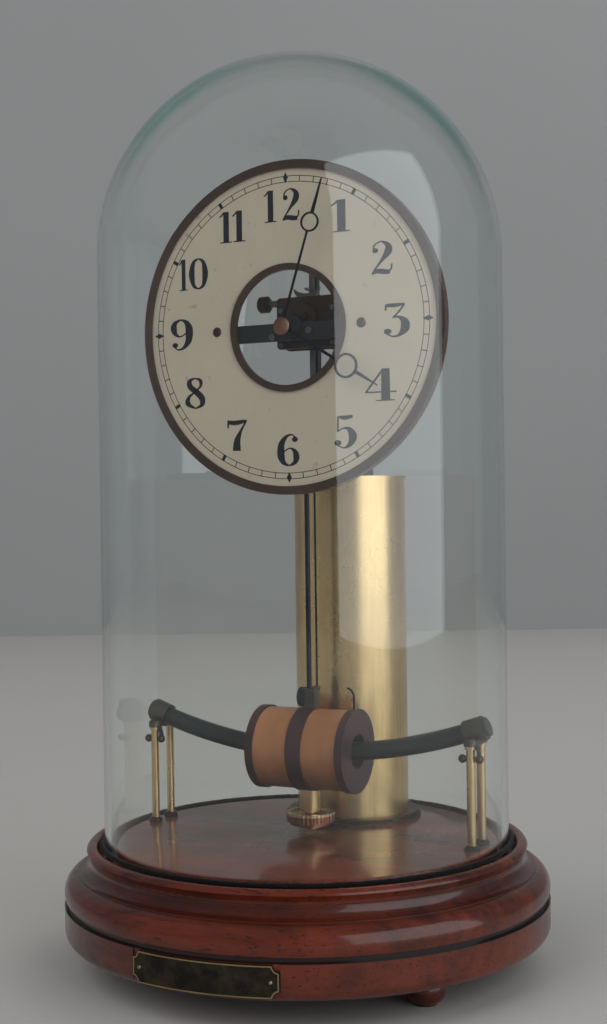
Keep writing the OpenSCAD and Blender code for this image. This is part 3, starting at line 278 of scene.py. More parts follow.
def dome_glass(c):
    f = Finish("dome_glass")
    waves = f.noise(7.0, 2.0, 0.5, (1.0, 1.0, 0.35))
    facing = f.node("ShaderNodeLayerWeight", None, {"Blend": 0.5}, output="Facing")
    rim = f.mask(facing, 0.66, 0.8)
    height = f.axis("Z")
    above_side = f.mask(height, CROWN + 18 * MM, CROWN + 46 * MM)
    below_top = f.mask(height, CROWN + 81 * MM, CROWN + 70 * MM)
    shoulder = above_side * below_top
    tinted = f.mix(rim * (shoulder * 0.92 + 0.08), tuple(c.glass), tuple(c.glass_edge))
    glass = f.shader(
        Base_Color=tinted, Roughness=0.015, IOR=1.46, Transmission_Weight=1.0,
        Normal=f.bump(waves, 0.0006, 0.10))
    shadow = f.node("ShaderNodeLightPath", output="Is Shadow Ray")
    clear = f.node("ShaderNodeBsdfTransparent", None, {"Color": (0.96, 0.98, 0.97)})
    return f.done(f.node("ShaderNodeMixShader", None, {0: shadow, 1: glass, 2: clear}))


def painted_dial(c):
    f = Finish("painted_dial")
    stain = f.noise(16.0, 5.0, 0.6, distortion=0.8)
    foxing = f.noise(260.0, 3.0, 0.6)
    brushed = f.noise(700.0, 2.0, 0.5, (1.0, 1.0, 0.05))
    aged = f.mix(f.mask(stain, 0.42, 0.78) * 0.35, tuple(c.dial), tint(c.dial, 0.74))
    spotted = f.mix(f.mask(foxing, 0.66, 0.74) * 0.5, aged, (0.24, 0.16, 0.09))
    fine = f.mix(f.mask(brushed, 0.4, 0.65) * 0.08, spotted, tint(c.dial, 1.12))
    return f.done(f.shader(
        Base_Color=fine, Roughness=f.mask(stain, 0.3, 0.8) * 0.12 + 0.42, Specular_IOR_Level=0.35,
        Normal=f.bump(brushed + foxing * 0.4, 0.00002, 0.2)))


def dial_ink(c):
    f = Finish("dial_ink")
    worn = f.noise(500.0, 3.0, 0.6)
    rubbed = f.mix(f.mask(worn, 0.6, 0.75) * 0.5, tuple(c.ink), (0.04, 0.04, 0.042))
    return f.done(f.shader(
        Base_Color=rubbed, Roughness=0.5, Specular_IOR_Level=0.2, Normal=f.bump(worn, 0.00001, 0.3)))


def stove_enamel(name, shade, roughness, metallic=0.0):
    f = Finish(name)
    orange_peel = f.noise(700.0, 3.0, 0.5)
    dust = f.noise(60.0, 5.0, 0.7)
    chips = f.mask(f.noise(210.0, 4.0, 0.75), 0.68, 0.74)
    dusty = f.mix(f.mask(dust, 0.45, 0.8) * 0.3, shade, tint(tuple(s + 0.01 for s in shade), 2.4))
    chipped = f.mix(chips * 0.6, dusty, (0.11, 0.08, 0.055))
    return f.done(f.shader(
        Base_Color=chipped, Metallic=metallic, Roughness=f.mask(dust, 0.3, 0.8) * 0.2 + roughness,
        Normal=f.bump(orange_peel - chips * 0.8, 0.00003, 0.3)))


def bare_metal(name, shade, roughness=0.3):
    f = Finish(name)
    cloud = f.noise(90.0, 4.0, 0.6)
    lines = f.noise(1500.0, 2.0, 0.5, (0.15, 1.0, 1.0))
    dull = f.mix(f.mask(cloud, 0.45, 0.75) * 0.5, shade, tint(shade, 0.45))
    return f.done(f.shader(
        Base_Color=dull, Metallic=1.0, Roughness=f.mask(cloud, 0.3, 0.8) * 0.2 + roughness,
        Normal=f.bump(lines, 0.00001, 0.3)))


def coil_cover(c):
    f = Finish("coil_cover")
    turns = f.sine(f.axis("X") * (2 * math.pi / WIRE_PITCH))
    cloud = f.noise(70.0, 4.0, 0.6, (1.0, 0.6, 0.6))
    rub = f.noise(240.0, 4.0, 0.7, (0.5, 1.0, 1.0))
    base = f.mix(f.mask(cloud, 0.35, 0.75), tint(c.cover, 0.72), tint(c.cover, 1.25))
    # Painted shade: the grooves between the turns are darker
    groove_shaded = f.mix(f.mask(turns, -0.2, -0.9) * 0.35, base, tint(c.cover, 0.4))
    rubbed = f.mix(f.mask(rub, 0.6, 0.75) * 0.4, groove_shaded, tint(c.cover, 0.5))
    # Painted shade: the cover is darker towards its underside, with a cloudy edge
    underside_shade = f.mask(f.axis("Z") + cloud * (8 * MM), COIL.z + 4 * MM, COIL.z - 15 * MM)
    underside_shaded = f.mix(underside_shade * 0.6, rubbed, tint(c.cover, 0.28))
    return f.done(f.shader(
        Base_Color=underside_shaded, Roughness=f.mask(rub, 0.3, 0.7) * 0.15 + 0.36, Coat_Weight=0.25,
        Coat_Roughness=0.25, Normal=f.bump(turns * 0.5 + rub * 0.4, 0.00006, 0.6)))


def coil_cheek(c):
    f = Finish("coil_cheek")
    cloud = f.noise(55.0, 5.0, 0.65)
    spots = f.noise(400.0, 3.0, 0.6)
    base = f.mix(f.mask(cloud, 0.4, 0.75), tuple(c.cheek), (0.060, 0.022, 0.024))
    return f.done(f.shader(
        Base_Color=f.mix(f.mask(spots, 0.65, 0.72) * 0.5, base, (0.18, 0.10, 0.07)),
        Roughness=f.mask(cloud, 0.3, 0.8) * 0.2 + 0.38,
        Normal=f.bump(spots, 0.00003, 0.4)))


def soft_fibre():
    f = Finish("soft_fibre")
    fluff = f.noise(1400.0, 4.0, 0.7)
    tipped = f.mix(f.mask(fluff, 0.35, 0.75), (0.003, 0.003, 0.003), (0.016, 0.015, 0.016))
    return f.done(f.shader(
        Base_Color=tipped, Roughness=0.95, Specular_IOR_Level=0.15, Sheen_Weight=0.12,
        Sheen_Roughness=0.4, Normal=f.bump(fluff, 0.0003, 0.9)))


def paper_jacket():
    f = Finish("paper_jacket")
    fibre = f.noise(300.0, 5.0, 0.7)
    return f.done(f.shader(
        Base_Color=f.mix(fibre, (0.12, 0.035, 0.025), (0.22, 0.07, 0.045)), Roughness=0.6,
        Normal=f.bump(fibre, 0.00005, 0.4)))


def patinated_plate():
    f = Finish("patinated_plate")
    cloud = f.noise(120.0, 5.0, 0.65)
    fine = f.noise(900.0, 3.0, 0.6)
    base = f.mix(f.mask(cloud, 0.4, 0.75), (0.018, 0.016, 0.013), (0.075, 0.055, 0.03))
    return f.done(f.shader(
        Base_Color=base, Metallic=0.75, Roughness=f.mask(fine, 0.3, 0.7) * 0.2 + 0.35,
        Normal=f.bump(fine, 0.00004, 0.5)))


def two_tone_nut():
    f = Finish("two_tone_nut")
    cloud = f.noise(120.0, 4.0, 0.6)
    top = f.mask(f.axis("Z"), NUT_RIM, NUT_RIM + 0.3 * MM)
    rim = f.mix(f.mask(cloud, 0.4, 0.75), (0.36, 0.15, 0.085), (0.17, 0.07, 0.045))
    face = f.mix(f.mask(cloud, 0.4, 0.75), (0.74, 0.56, 0.34), (0.42, 0.27, 0.14))
    return f.done(f.shader(
        Base_Color=f.mix(top, rim, face), Metallic=1.0, Roughness=f.mask(cloud, 0.3, 0.8) * 0.15 + 0.24,
        Normal=f.bump(cloud, 0.00001, 0.3)))


def build_finishes(c):
    """Finishes by material slot, and after those the four that only this script uses."""
    bright, dull, even = tuple(c.brass), tuple(c.brass_tarnish), (1, 1, 1)
    browned, worn_brown = (0.085, 0.055, 0.035), (0.03, 0.02, 0.015)
    gilt, worn_gilt = (0.42, 0.33, 0.17), (0.12, 0.09, 0.05)
    return {
        "mahogany": polished_mahogany(c),
        "aged_brass": lacquered_brass("aged_brass", bright, dull, 1.0, 0.24),
        "dark_brass": lacquered_brass("dark_brass", browned, worn_brown, 2.0, 0.38, even),
        "dome_glass": dome_glass(c),
        "chenille": soft_fibre(),
        "black_paint": stove_enamel("black_paint", (0.007, 0.007, 0.008), 0.42),
        "cream_dial": painted_dial(c),
        "bezel_bronze": stove_enamel("bezel_bronze", tuple(c.bezel), 0.3, 0.35),
        "blued_steel": bare_metal("blued_steel", (0.022, 0.026, 0.04), 0.3),
        "steel": bare_metal("steel", (0.20, 0.20, 0.20)),
        "black_magnet": stove_enamel("black_magnet", tuple(c.magnet), 0.32, 0.2),
        "grey_metal": bare_metal("grey_metal", (0.13, 0.12, 0.10), 0.4),
        "coil_paper": coil_cover(c),
        "coil_end": coil_cheek(c),
        "copper_wire": bare_metal("copper_wire", (0.42, 0.17, 0.07), 0.3),
        "copper_cap": bare_metal("copper_cap", (0.33, 0.17, 0.12), 0.36),
        "battery_jacket": paper_jacket(),
        "plate_black": patinated_plate(),
        "nut": two_tone_nut(),
        "pillar": lacquered_brass("pillar_brass", bright, dull, 1.0, 0.24, foot=PILLAR_FOOT),
        "ink": dial_ink(c),
        "plate_rim": lacquered_brass("plate_rim", gilt, worn_gilt, 3.0, 0.35, even),
    }


# Filled by the first operator, once the colours are registered
FINISHES = {}


# Pieces


def smooth_by_angle(bm, degrees):
    """Shades the faces smooth, with hard edges where they meet at more than the angle."""
    limit = math.radians(degrees)
    for face in bm.faces:
        face.smooth = True
    for edge in bm.edges:
        edge.smooth = len(edge.link_faces) == 2 and edge.calc_face_angle(0.0) < limit


def place_piece(name, bm, body, slot, degrees=32, outward=True):
    """Makes the bmesh an object that rides on the body, in the finish of the slot."""
    if outward:
        bmesh.ops.recalc_face_normals(bm, faces=bm.faces[:])
    smooth_by_angle(bm, degrees)
    mesh = bpy.data.meshes.new(name)
    bm.to_mesh(mesh)
    bm.free()
    mesh.materials.append(FINISHES[slot])
    piece = bpy.data.objects.new(name, mesh)
    bpy.context.scene.collection.objects.link(piece)
    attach(piece, body)
    return piece


def smoothed_copy(node):
    """A merged, smooth-shaded copy of a CAD node that stands for it."""
    bm = bmesh.new()
    bm.from_mesh(frame["nodes"][node].data)
    bmesh.ops.remove_doubles(bm, verts=bm.verts[:], dist=WELD)
    piece = place_piece(node + "_surface", bm, BODY_OF[node], SLOT_OF[node], outward=False)
    piece.data.materials[0] = frame["nodes"][node].data.materials[0]
    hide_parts(node)


# Dial figures


def spline(points, steps):
    """Points on a smooth curve through the given (x, y, width) points."""
    out = []
    padded = [points[0]] + list(points) + [points[-1]]
    for a, b, c, d in zip(padded, padded[1:], padded[2:], padded[3:]):
        for i in range(steps):
            t = i / steps
            out.append([0.5 * (2 * q + (r - p) * t + (2 * p - 5 * q + 4 * r - s) * t * t
                               + (3 * q - p - 3 * r + s) * t ** 3) for p, q, r, s in zip(a, b, c, d)])
    out.append(list(points[-1]))
    return out


def pen_stroke(bm, points, steps=8):
    """A flat stroke whose width follows its points, in the dial's plane."""
    path = spline(points, steps) if len(points) > 2 else [list(p) for p in points]
    rows = []
    for i, (x, y, w) in enumerate(path):
        ahead = path[min(i + 1, len(path) - 1)]
        behind = path[max(i - 1, 0)]
        side = Vector((behind[1] - ahead[1], ahead[0] - behind[0])).normalized() * (w / 2)
        rows.append([bm.verts.new((x + end * side.x, 0, y + end * side.y)) for end in (1, -1)])
    for first, second in zip(rows, rows[1:]):
        bm.faces.new((first[0], first[1], second[1], second[0]))


def pen_dot(bm, x, y, r):
    place = Matrix.Translation((x, 0, y)) @ UPRIGHT
    bmesh.ops.create_circle(bm, cap_ends=True, radius=r, segments=20, matrix=place)


# Widths of a thick and a thin stroke
STEM = 0.2
HAIR = 0.045

# Pen strokes and dots of each digit, as (across, up, width) points of a figure 1 high
STROKES = {
    "0": ([
        [(0, 0.98, HAIR), (0.17, 0.86, 0.12), (0.235, 0.5, STEM), (0.17, 0.14, 0.12),
         (0, 0.02, HAIR)],
        [(0, 0.98, HAIR), (-0.17, 0.86, 0.12), (-0.235, 0.5, STEM), (-0.17, 0.14, 0.12),
         (0, 0.02, HAIR)],
    ], []),
    "1": ([
        [(0.02, 0.02, STEM), (0.02, 0.99, STEM)],
        [(-0.19, 0.018, 0.036), (0.23, 0.018, 0.036)],
        [(-0.06, 0.97, 0.06), (-0.14, 0.88, 0.05), (-0.22, 0.83, HAIR)],
    ], []),
    "2": ([
        [(-0.19, 0.72, 0.05), (-0.17, 0.88, HAIR), (0.0, 0.98, HAIR), (0.17, 0.86, 0.14),
         (0.17, 0.66, 0.19), (0.0, 0.4, 0.08), (-0.2, 0.1, HAIR)],
        [(-0.24, 0.03, 0.06), (-0.1, 0.1, 0.14), (0.08, 0.07, 0.15), (0.22, 0.06, 0.12)],
        [(0.19, 0.08, 0.06), (0.25, 0.16, HAIR), (0.26, 0.3, HAIR)],
    ], [(-0.15, 0.72, 0.075)]),
    "3": ([
        [(-0.19, 0.95, 0.1), (0.0, 0.94, 0.12), (0.2, 0.97, 0.05)],
        [(-0.2, 0.98, HAIR), (-0.21, 0.8, HAIR)],
        [(0.2, 0.97, HAIR), (0.08, 0.75, HAIR), (-0.04, 0.59, HAIR)],
        [(-0.06, 0.58, HAIR), (0.08, 0.585, 0.08), (0.2, 0.45, 0.17), (0.2, 0.22, 0.19),
         (0.08, 0.05, 0.09), (-0.06, 0.015, HAIR), (-0.21, 0.12, HAIR)],
    ], [(-0.17, 0.17, 0.085)]),
    "4": ([
        [(0.09, 0.02, STEM * 0.88), (0.09, 0.97, STEM * 0.8)],
        [(-0.1, 0.018, 0.036), (0.27, 0.018, 0.036)],
        [(0.05, 0.97, HAIR), (-0.3, 0.27, HAIR)],
        [(-0.31, 0.27, HAIR), (0.3, 0.27, HAIR)],
    ], []),
    "5": ([
        [(-0.16, 0.97, 0.05), (0.0, 0.93, 0.13), (0.2, 0.97, 0.09)],
        [(-0.16, 0.97, HAIR), (-0.17, 0.5, HAIR)],
        [(-0.17, 0.52, HAIR), (-0.04, 0.61, HAIR), (0.11, 0.58, 0.12), (0.2, 0.36, 0.2),
         (0.13, 0.12, 0.13), (-0.03, 0.015, HAIR), (-0.21, 0.12, HAIR)],
    ], [(-0.17, 0.17, 0.085)]),
    "6": ([
        [(0.2, 0.84, HAIR), (0.1, 0.97, HAIR), (-0.06, 0.93, 0.09), (-0.2, 0.7, 0.17),
         (-0.22, 0.35, 0.2), (-0.15, 0.12, 0.13), (0.0, 0.02, HAIR)],
        [(0.0, 0.02, HAIR), (0.16, 0.12, 0.12), (0.2, 0.3, 0.17), (0.15, 0.48, 0.11),
         (0.02, 0.56, HAIR), (-0.14, 0.46, HAIR)],
    ], [(0.165, 0.83, 0.08)]),
    "7": ([
        [(-0.22, 0.92, 0.12), (-0.05, 0.9, 0.15), (0.12, 0.93, 0.12), (0.24, 0.96, 0.07)],
        [(-0.23, 0.99, HAIR), (-0.24, 0.74, HAIR)],
        [(0.24, 0.96, HAIR), (0.1, 0.66, 0.07), (0.0, 0.36, 0.16), (-0.02, 0.02, 0.21)],
    ], []),
    "8": ([
        [(0.0, 0.98, HAIR), (-0.14, 0.91, 0.11), (-0.13, 0.72, 0.15), (0.04, 0.53, 0.17),
         (0.17, 0.34, 0.16), (0.17, 0.13, 0.11), (0.0, 0.02, HAIR)],
        [(0.0, 0.98, HAIR), (0.13, 0.91, 0.09), (0.14, 0.73, 0.07), (0.0, 0.56, HAIR),
         (-0.17, 0.38, 0.09), (-0.19, 0.17, 0.13), (0.0, 0.02, HAIR)],
    ], []),
}

# Digits of each hour with their shift in figure heights and how much they are widened
HOURS = {
    1: [("1", -0.05, 1.4)],
    2: [("2", -0.12, 1.28)],
    3: [("3", -0.20, 1.48)],
    4: [("4", -0.18, 1.65)],
    5: [("5", 0.0, 1.35)],
    6: [("6", 0.0, 1.26)],
    7: [("7", 0.09, 1.38)],
    8: [("8", -0.03, 1.41)],
    9: [("9", -0.02, 1.37)],
    10: [("1", -0.42, 0.7), ("0", 0.145, 1.05)],
    11: [("1", -0.235, 1.0), ("1", 0.235, 1.0)],
    12: [("1", -0.55, 0.95), ("2", 0.155, 1.1)],
}

# Marks of the minute track: a lozenge each quarter, a block each five minutes, else a line
LOZENGE_OUT = 0.6 * MM
LOZENGE_HALF_WIDTH = 1.15 * MM
LOZENGE_HALF_HEIGHT = 2.4 * MM
BLOCK_HALF_WIDTH = 0.75 * MM
BLOCK_PAST = 0.2 * MM
FIGURE_FILM = 0.030 * MM
TRACK_FILM = 0.024 * MM


class DOMECLOCK_OT_dial_figures(bpy.types.Operator):
    """Paint the hour figures and the minute track on the dial"""

    bl_idname = "domeclock.dial_figures"
    bl_label = "Dial Figures"

    def execute(self, context):
        s = context.scene.dome_clock_sizes
        size = s.figure_height
        figures = bmesh.new()
        for hour, digits in HOURS.items():
            angle = math.radians(30 * hour)
            centre = Vector((math.sin(angle), math.cos(angle))) * s.figure_radius
            for digit, shift, width in digits:
                place = Matrix.Translation((centre.x + shift * size, 0, centre.y - size / 2))
                grow = Matrix.Diagonal((size * width, size, size, 1))
                self.figure(figures, digit, place @ grow)
        self.paint(figures, "hour_figures", FIGURE_FILM)

        track = bmesh.new()
        for radius in (s.track_inner, s.track_outer):
            self.ring(track, radius - s.line_width / 2, radius + s.line_width / 2)
        for minute in range(60):
            angle = math.radians(6 * minute)
            out = Vector((math.sin(angle), math.cos(angle)))
            if minute % 15 == 0:
                mid = (s.track_inner + s.track_outer) / 2 + LOZENGE_OUT
                corners = [(-LOZENGE_HALF_WIDTH, mid), (0, mid + LOZENGE_HALF_HEIGHT),
                           (LOZENGE_HALF_WIDTH, mid), (0, mid - LOZENGE_HALF_HEIGHT)]
            elif minute % 5 == 0:
                corners = self.bar(BLOCK_HALF_WIDTH, s.track_inner - BLOCK_PAST, s.track_outer + BLOCK_PAST)
            else:
                corners = self.bar(s.line_width * 0.6, s.track_inner, s.track_outer)
            self.shape(track, out, corners)
        self.paint(track, "minute_track", TRACK_FILM)
        return {"FINISHED"}

    def figure(self, figures, digit, place):
        """Adds the strokes of a digit in its place; a nine is a six turned upside down."""
        glyph = bmesh.new()
        strokes, dots = STROKES["6" if digit == "9" else digit]
        for stroke in strokes:
            pen_stroke(glyph, stroke)
        for x, y, r in dots:
            pen_dot(glyph, x, y, r)
        if digit == "9":
            place = place @ (Matrix.Translation((0, 0, 1)) @ Matrix.Rotation(math.pi, 4, "Y"))
        bmesh.ops.transform(glyph, matrix=place, verts=glyph.verts[:])
        mesh = bpy.data.meshes.new("glyph")
        glyph.to_mesh(mesh)
        glyph.free()
        figures.from_mesh(mesh)
        bpy.data.meshes.remove(mesh)

    def bar(self, half, start, end):
        return [(-half, start), (-half, end), (half, end), (half, start)]

    def ring(self, bm, inner, outer):
        """A flat ring between two radii."""
        made = bmesh.ops.create_circle(bm, cap_ends=False, radius=inner, segments=180, matrix=UPRIGHT)
        edges = list({e for v in made["verts"] for e in v.link_edges})
        grown = bmesh.ops.extrude_edge_only(bm, edges=edges)
        verts = [g for g in grown["geom"] if isinstance(g, bmesh.types.BMVert)]
        bmesh.ops.scale(bm, vec=(outer / inner,) * 3, verts=verts)

    def shape(self, bm, out, corners):
        """A flat face from (across, outward) corners, on the ray that points out."""
        side = Vector((out.y, -out.x))
        verts = []
        for across, up in corners:
            p = out * up + side * across
            verts.append(bm.verts.new((p.x, 0, p.y)))
        bm.faces.new(verts)

    def paint(self, bm, name, thickness):
        """Gives the flat outline a film's thickness on the dial's face."""
        place = Matrix.Translation((DIAL.x, DIAL_FACE, DIAL.z))
        bmesh.ops.transform(bm, matrix=place, verts=bm.verts[:])
        bmesh.ops.recalc_face_normals(bm, faces=bm.faces[:])
        for face in bm.faces:
            if face.normal.y > 0:
                face.normal_flip()
        grown = bmesh.ops.extrude_face_region(bm, geom=bm.faces[:])
        verts = [g for g in grown["geom"] if isinstance(g, bmesh.types.BMVert)]
        bmesh.ops.translate(bm, vec=(0, -thickness, 0), verts=verts)
        place_piece(name, bm, "stand", "ink", outward=False)


# Soft cord: thickness, how far its middle lies below the deck, share of a tuft that varies
CORD_RADIUS = 1.2 * MM
CORD_SINK = 0.4 * MM
TUFT_SHARE = 0.8


class DOMECLOCK_OT_soft_seal(bpy.types.Operator):
    """Replace the plain ring with a tufted cord between the dome and its groove"""

    bl_idname = "domeclock.soft_seal"
    bl_label = "Soft Seal"

    def execute(self, context):
        tuft = context.scene.dome_clock_sizes.tuft
        centre_r = (-low("dome_seal").x + DOME_RADIUS) / 2
        random.seed(7)
        bm = bmesh.new()
        place = Matrix.Translation((centre_r, 0, 0)) @ UPRIGHT
        made = bmesh.ops.create_circle(bm, cap_ends=False, radius=CORD_RADIUS, segments=10, matrix=place)
        ring = made["verts"] + list({e for v in made["verts"] for e in v.link_edges})
        bmesh.ops.spin(bm, geom=ring, cent=(0, 0, 0), axis=(0, 0, 1), dvec=(0, 0, 0),
                       angle=2 * math.pi, steps=720, use_merge=True, use_duplicate=False)
        bmesh.ops.remove_doubles(bm, verts=bm.verts[:], dist=WELD)
        for vert in bm.verts:
            flat = Vector((vert.co.x, vert.co.y, 0))
            core = flat.normalized() * centre_r
            out = vert.co - core
            stretch = 1.0 - tuft / CORD_RADIUS * random.random() * TUFT_SHARE
            vert.co = core + out * stretch
            vert.co.z += DECK - CORD_SINK
        piece = place_piece("tufted_cord", bm, "stand", "chenille", 60)
        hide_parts("dome_seal")
        return {"FINISHED"}


# Plate: margin outside the border, its lower and upper face, its notched corners, its pins
BORDER_MARGIN = 0.25 * MM
BORDER_FOOT = 0.02 * MM
BORDER_TOP = 0.16 * MM
NOTCH_RADIUS = 2.6 * MM
PIN_INSET = 3.4 * MM
PIN_RADIUS = 0.85 * MM
LONG_EDGE = 12 * MM


class DOMECLOCK_OT_plate_border(bpy.types.Operator):
    """Raise a border round the bare plate and pin it to the base"""

    bl_idname = "domeclock.plate_border"
    bl_label = "Plate Border"

    def execute(self, context):
        bead = context.scene.dome_clock_sizes.bead
        points = [v.co for v in frame["nodes"]["nameplate"].data.vertices]
        self.radius = max(p.xy.length for p in points)
        angles = [math.atan2(p.x, -p.y) for p in points]
        self.turn = (max(angles) + min(angles)) / 2
        self.width = (max(angles) - min(angles)) * self.radius
        self.height = high("nameplate").z - low("nameplate").z
        self.level = middle("nameplate").z
        bm = bmesh.new()
        inner, outer = self.outline(BORDER_MARGIN + bead), self.outline(BORDER_MARGIN)
        rows = []
        for a, b in zip(inner, outer):
            corners = ((a, BORDER_FOOT), (a, BORDER_TOP), (b, BORDER_TOP), (b, BORDER_FOOT))
            rows.append([self.bend(bm, *point, out) for point, out in corners])
        for first, second in zip(rows, rows[1:] + rows[:1]):
            for i in range(4):
                bm.faces.new((first[i], second[i], second[(i + 1) % 4], first[(i + 1) % 4]))
        place_piece("plate_border_line", bm, "stand", "plate_rim")
        pins = bmesh.new()
        for side in (-1, 1):
            angle = self.turn + side * (self.width / 2 - PIN_INSET) / self.radius
            centre = Vector((math.sin(angle), -math.cos(angle), 0)) * self.radius
            centre.z = self.level
            bmesh.ops.create_uvsphere(pins, u_segments=20, v_segments=10, radius=PIN_RADIUS,
                                      matrix=Matrix.Translation(centre))
        place_piece("plate_pins", pins, "stand", "plate_rim")
        return {"FINISHED"}

    def outline(self, inset):
        """Points round the plate at a distance inside its edge."""
        notch = NOTCH_RADIUS + inset
        half_w, half_h = self.width / 2, self.height / 2
        start = math.asin(inset / notch)
        corner = []
        for i in range(9):
            a = start + (math.pi / 2 - 2 * start) * i / 8
            corner.append((half_w - notch * math.cos(a), half_h - notch * math.sin(a)))
        out = [(x, z) for x, z in corner] + [(x, -z) for x, z in reversed(corner)]
        out += [(-x, -z) for x, z in corner] + [(-x, z) for x, z in reversed(corner)]
        return self.dense(out)

    def dense(self, points):
        """The same outline with more points on its long edges."""
        out = []
        for (x, z), (u, w) in zip(points, points[1:] + points[:1]):
            steps = 24 if math.hypot(u - x, w - z) > LONG_EDGE else 1
            out += [(x + (u - x) * i / steps, z + (w - z) * i / steps) for i in range(steps)]
        return out

    def bend(self, bm, along, up, out):
        """A vertex of the flat outline, bent round the base and raised off the plate."""
        angle = self.turn + along / self.radius
        radius = self.radius + out
        return bm.verts.new((math.sin(angle) * radius, -math.cos(angle) * radius, self.level + up))


# Cross screws: place of the front pillars, depth below their tops, rod and balls
PILLAR_X = 74.8 * MM
PILLAR_FORWARD = 6.55 * MM
SCREW_DROP = 5.2 * MM
ROD_RADIUS = 0.7 * MM
ROD_LENGTH = 6.6 * MM
BALL_RADIUS = 1.75 * MM
BALL_OUT = 3.4 * MM
# Straps: width, thickness
STRAP_WIDTH = 3.0 * MM
STRAP_THICKNESS = 0.6 * MM


class DOMECLOCK_OT_pillar_knobs(bpy.types.Operator):
    """Fit the ball-ended cross screws and dark straps below the magnet's clasps"""

    bl_idname = "domeclock.pillar_knobs"
    bl_label = "Pillar Knobs"

    def execute(self, context):
        level = high("magnet_pillars").z - SCREW_DROP
        y = middle("magnet_yokes").y - PILLAR_FORWARD
        for side, name in ((-1, "left"), (1, "right")):
            x = side * PILLAR_X
            rod = Matrix.Translation((x, y, level)) @ Matrix.Rotation(math.pi / 2, 4, "Y")
            bm = bmesh.new()
            bmesh.ops.create_cone(bm, cap_ends=True, segments=16, radius1=ROD_RADIUS,
                                  radius2=ROD_RADIUS, depth=ROD_LENGTH, matrix=rod)
            for end in (-1, 1):
                ball = Matrix.Translation((x + end * BALL_OUT, y, level))
                bmesh.ops.create_uvsphere(bm, u_segments=24, v_segments=14, radius=BALL_RADIUS,
                                          matrix=ball)
            place_piece("cross_screw_" + name, bm, "stand", "dark_brass")
            self.strap(name, x, y, level)
        return {"FINISHED"}

    def strap(self, name, x, y, level):
        """A thin strip that curls down from the clasp to the right-hand ball."""
        top = low("magnet_yokes").z
        path = [(1.9, top + 1.6 * MM), (2.9, top + 0.6 * MM), (3.7, level + 2.4 * MM),
                (3.9, level + 1.0 * MM), (3.7, level - 0.6 * MM)]
        bm = bmesh.new()
        rows = []
        for out, z in path:
            rows.append([bm.verts.new((x + out * MM, y + side * STRAP_WIDTH / 2, z)) for side in (-1, 1)])
        for a, b in zip(rows, rows[1:]):
            bm.faces.new((a[0], b[0], b[1], a[1]))
        bmesh.ops.subdivide_edges(bm, edges=bm.edges[:], cuts=2, smooth=0.6, use_grid_fill=True)
        bmesh.ops.recalc_face_normals(bm, faces=bm.faces[:])
        bmesh.ops.solidify(bm, geom=bm.faces[:], thickness=STRAP_THICKNESS)
        place_piece("end_strap_" + name, bm, "stand", "black_magnet")


# Nodes that a merged, smooth-shaded copy stands for
ROUND_NODES = (
    "wooden_base", "bun_feet", "glass_dome", "battery_tube", "column_cap", "column_flange",
    "magnet_bar", "magnet_yokes", "magnet_pillars", "coil_former", "coil_wraps", "coil_band",
    "rating_stud", "rating_nut", "dial_bezel", "dial_inner_ring", "dial_plate", "pendulum_rod",
    "yoke_screws", "dial_screws", "centre_cap", "coil_leads", "supply_wire", "nameplate",
    "movement_bracket", "worm_arbor", "clamp_nut", "setting_knob", "minute_hand", "hour_hand",
    "contact_fork", "dial_crossbar", "hour_wheel", "cannon_pinion", "coil_clamp",
)

# Nodes whose finish differs from the others in their slot
OWN_FINISH = {"rating_nut": "nut", "magnet_pillars": "pillar"}


class DOMECLOCK_OT_surfaces(bpy.types.Operator):
    """Give every part its finish and smooth the round ones"""

    bl_idname = "domeclock.surfaces"
    bl_label = "Surfaces"

    def execute(self, context):
        FINISHES.update(build_finishes(context.scene.dome_clock_colours))
        for node, obj in frame["nodes"].items():
            obj.data.materials.clear()
            obj.data.materials.append(FINISHES[OWN_FINISH.get(node, SLOT_OF[node])])
            if node in ROUND_NODES:
                smoothed_copy(node)
        return {"FINISHED"}


# Camera that matches the photo's view: its right and up directions and its place above the deck
CAMERA_LENS = 53.314
CAMERA_RIGHT = Vector((0.89942, 0.43688, -0.01323))
CAMERA_UP = Vector((0.00897, 0.01180, 0.99989))
CAMERA_PLACE = (0.28426, -0.58428, DECK + 0.14243)

# Wall: its direction from the clock, its turn and its middle's height; half size of wall and floor
WALL_DIRECTION = Vector((-0.437, 0.8994, 0.0))
WALL_TURN = 25.9
WALL_MIDDLE = 2.0
STAGE_SIZE = 3.0

# Lamps: name, place, target, size, power, colour, whether the glass and the metal mirror it
LAMPS = (
    ("window", (1.53, -0.38, 0.9), (0.0, 0.0, 0.8), (2.0, 2.1), 22.0, (0.93, 0.97, 1.0), True),
    ("sky", (-1.3, -1.5, 2.0), (0.0, 0.6, 0.6), (3.0, 2.6), 34.0, (1.0, 0.99, 0.97), False),
    ("room", (0.3, 1.3, 1.6), (0.0, 0.0, 0.2), (1.6, 1.2), 8.0, (1.0, 0.98, 0.95), False),
)
WORLD_COLOUR = (0.78, 0.82, 0.88, 1.0)
WORLD_STRENGTH = 0.24


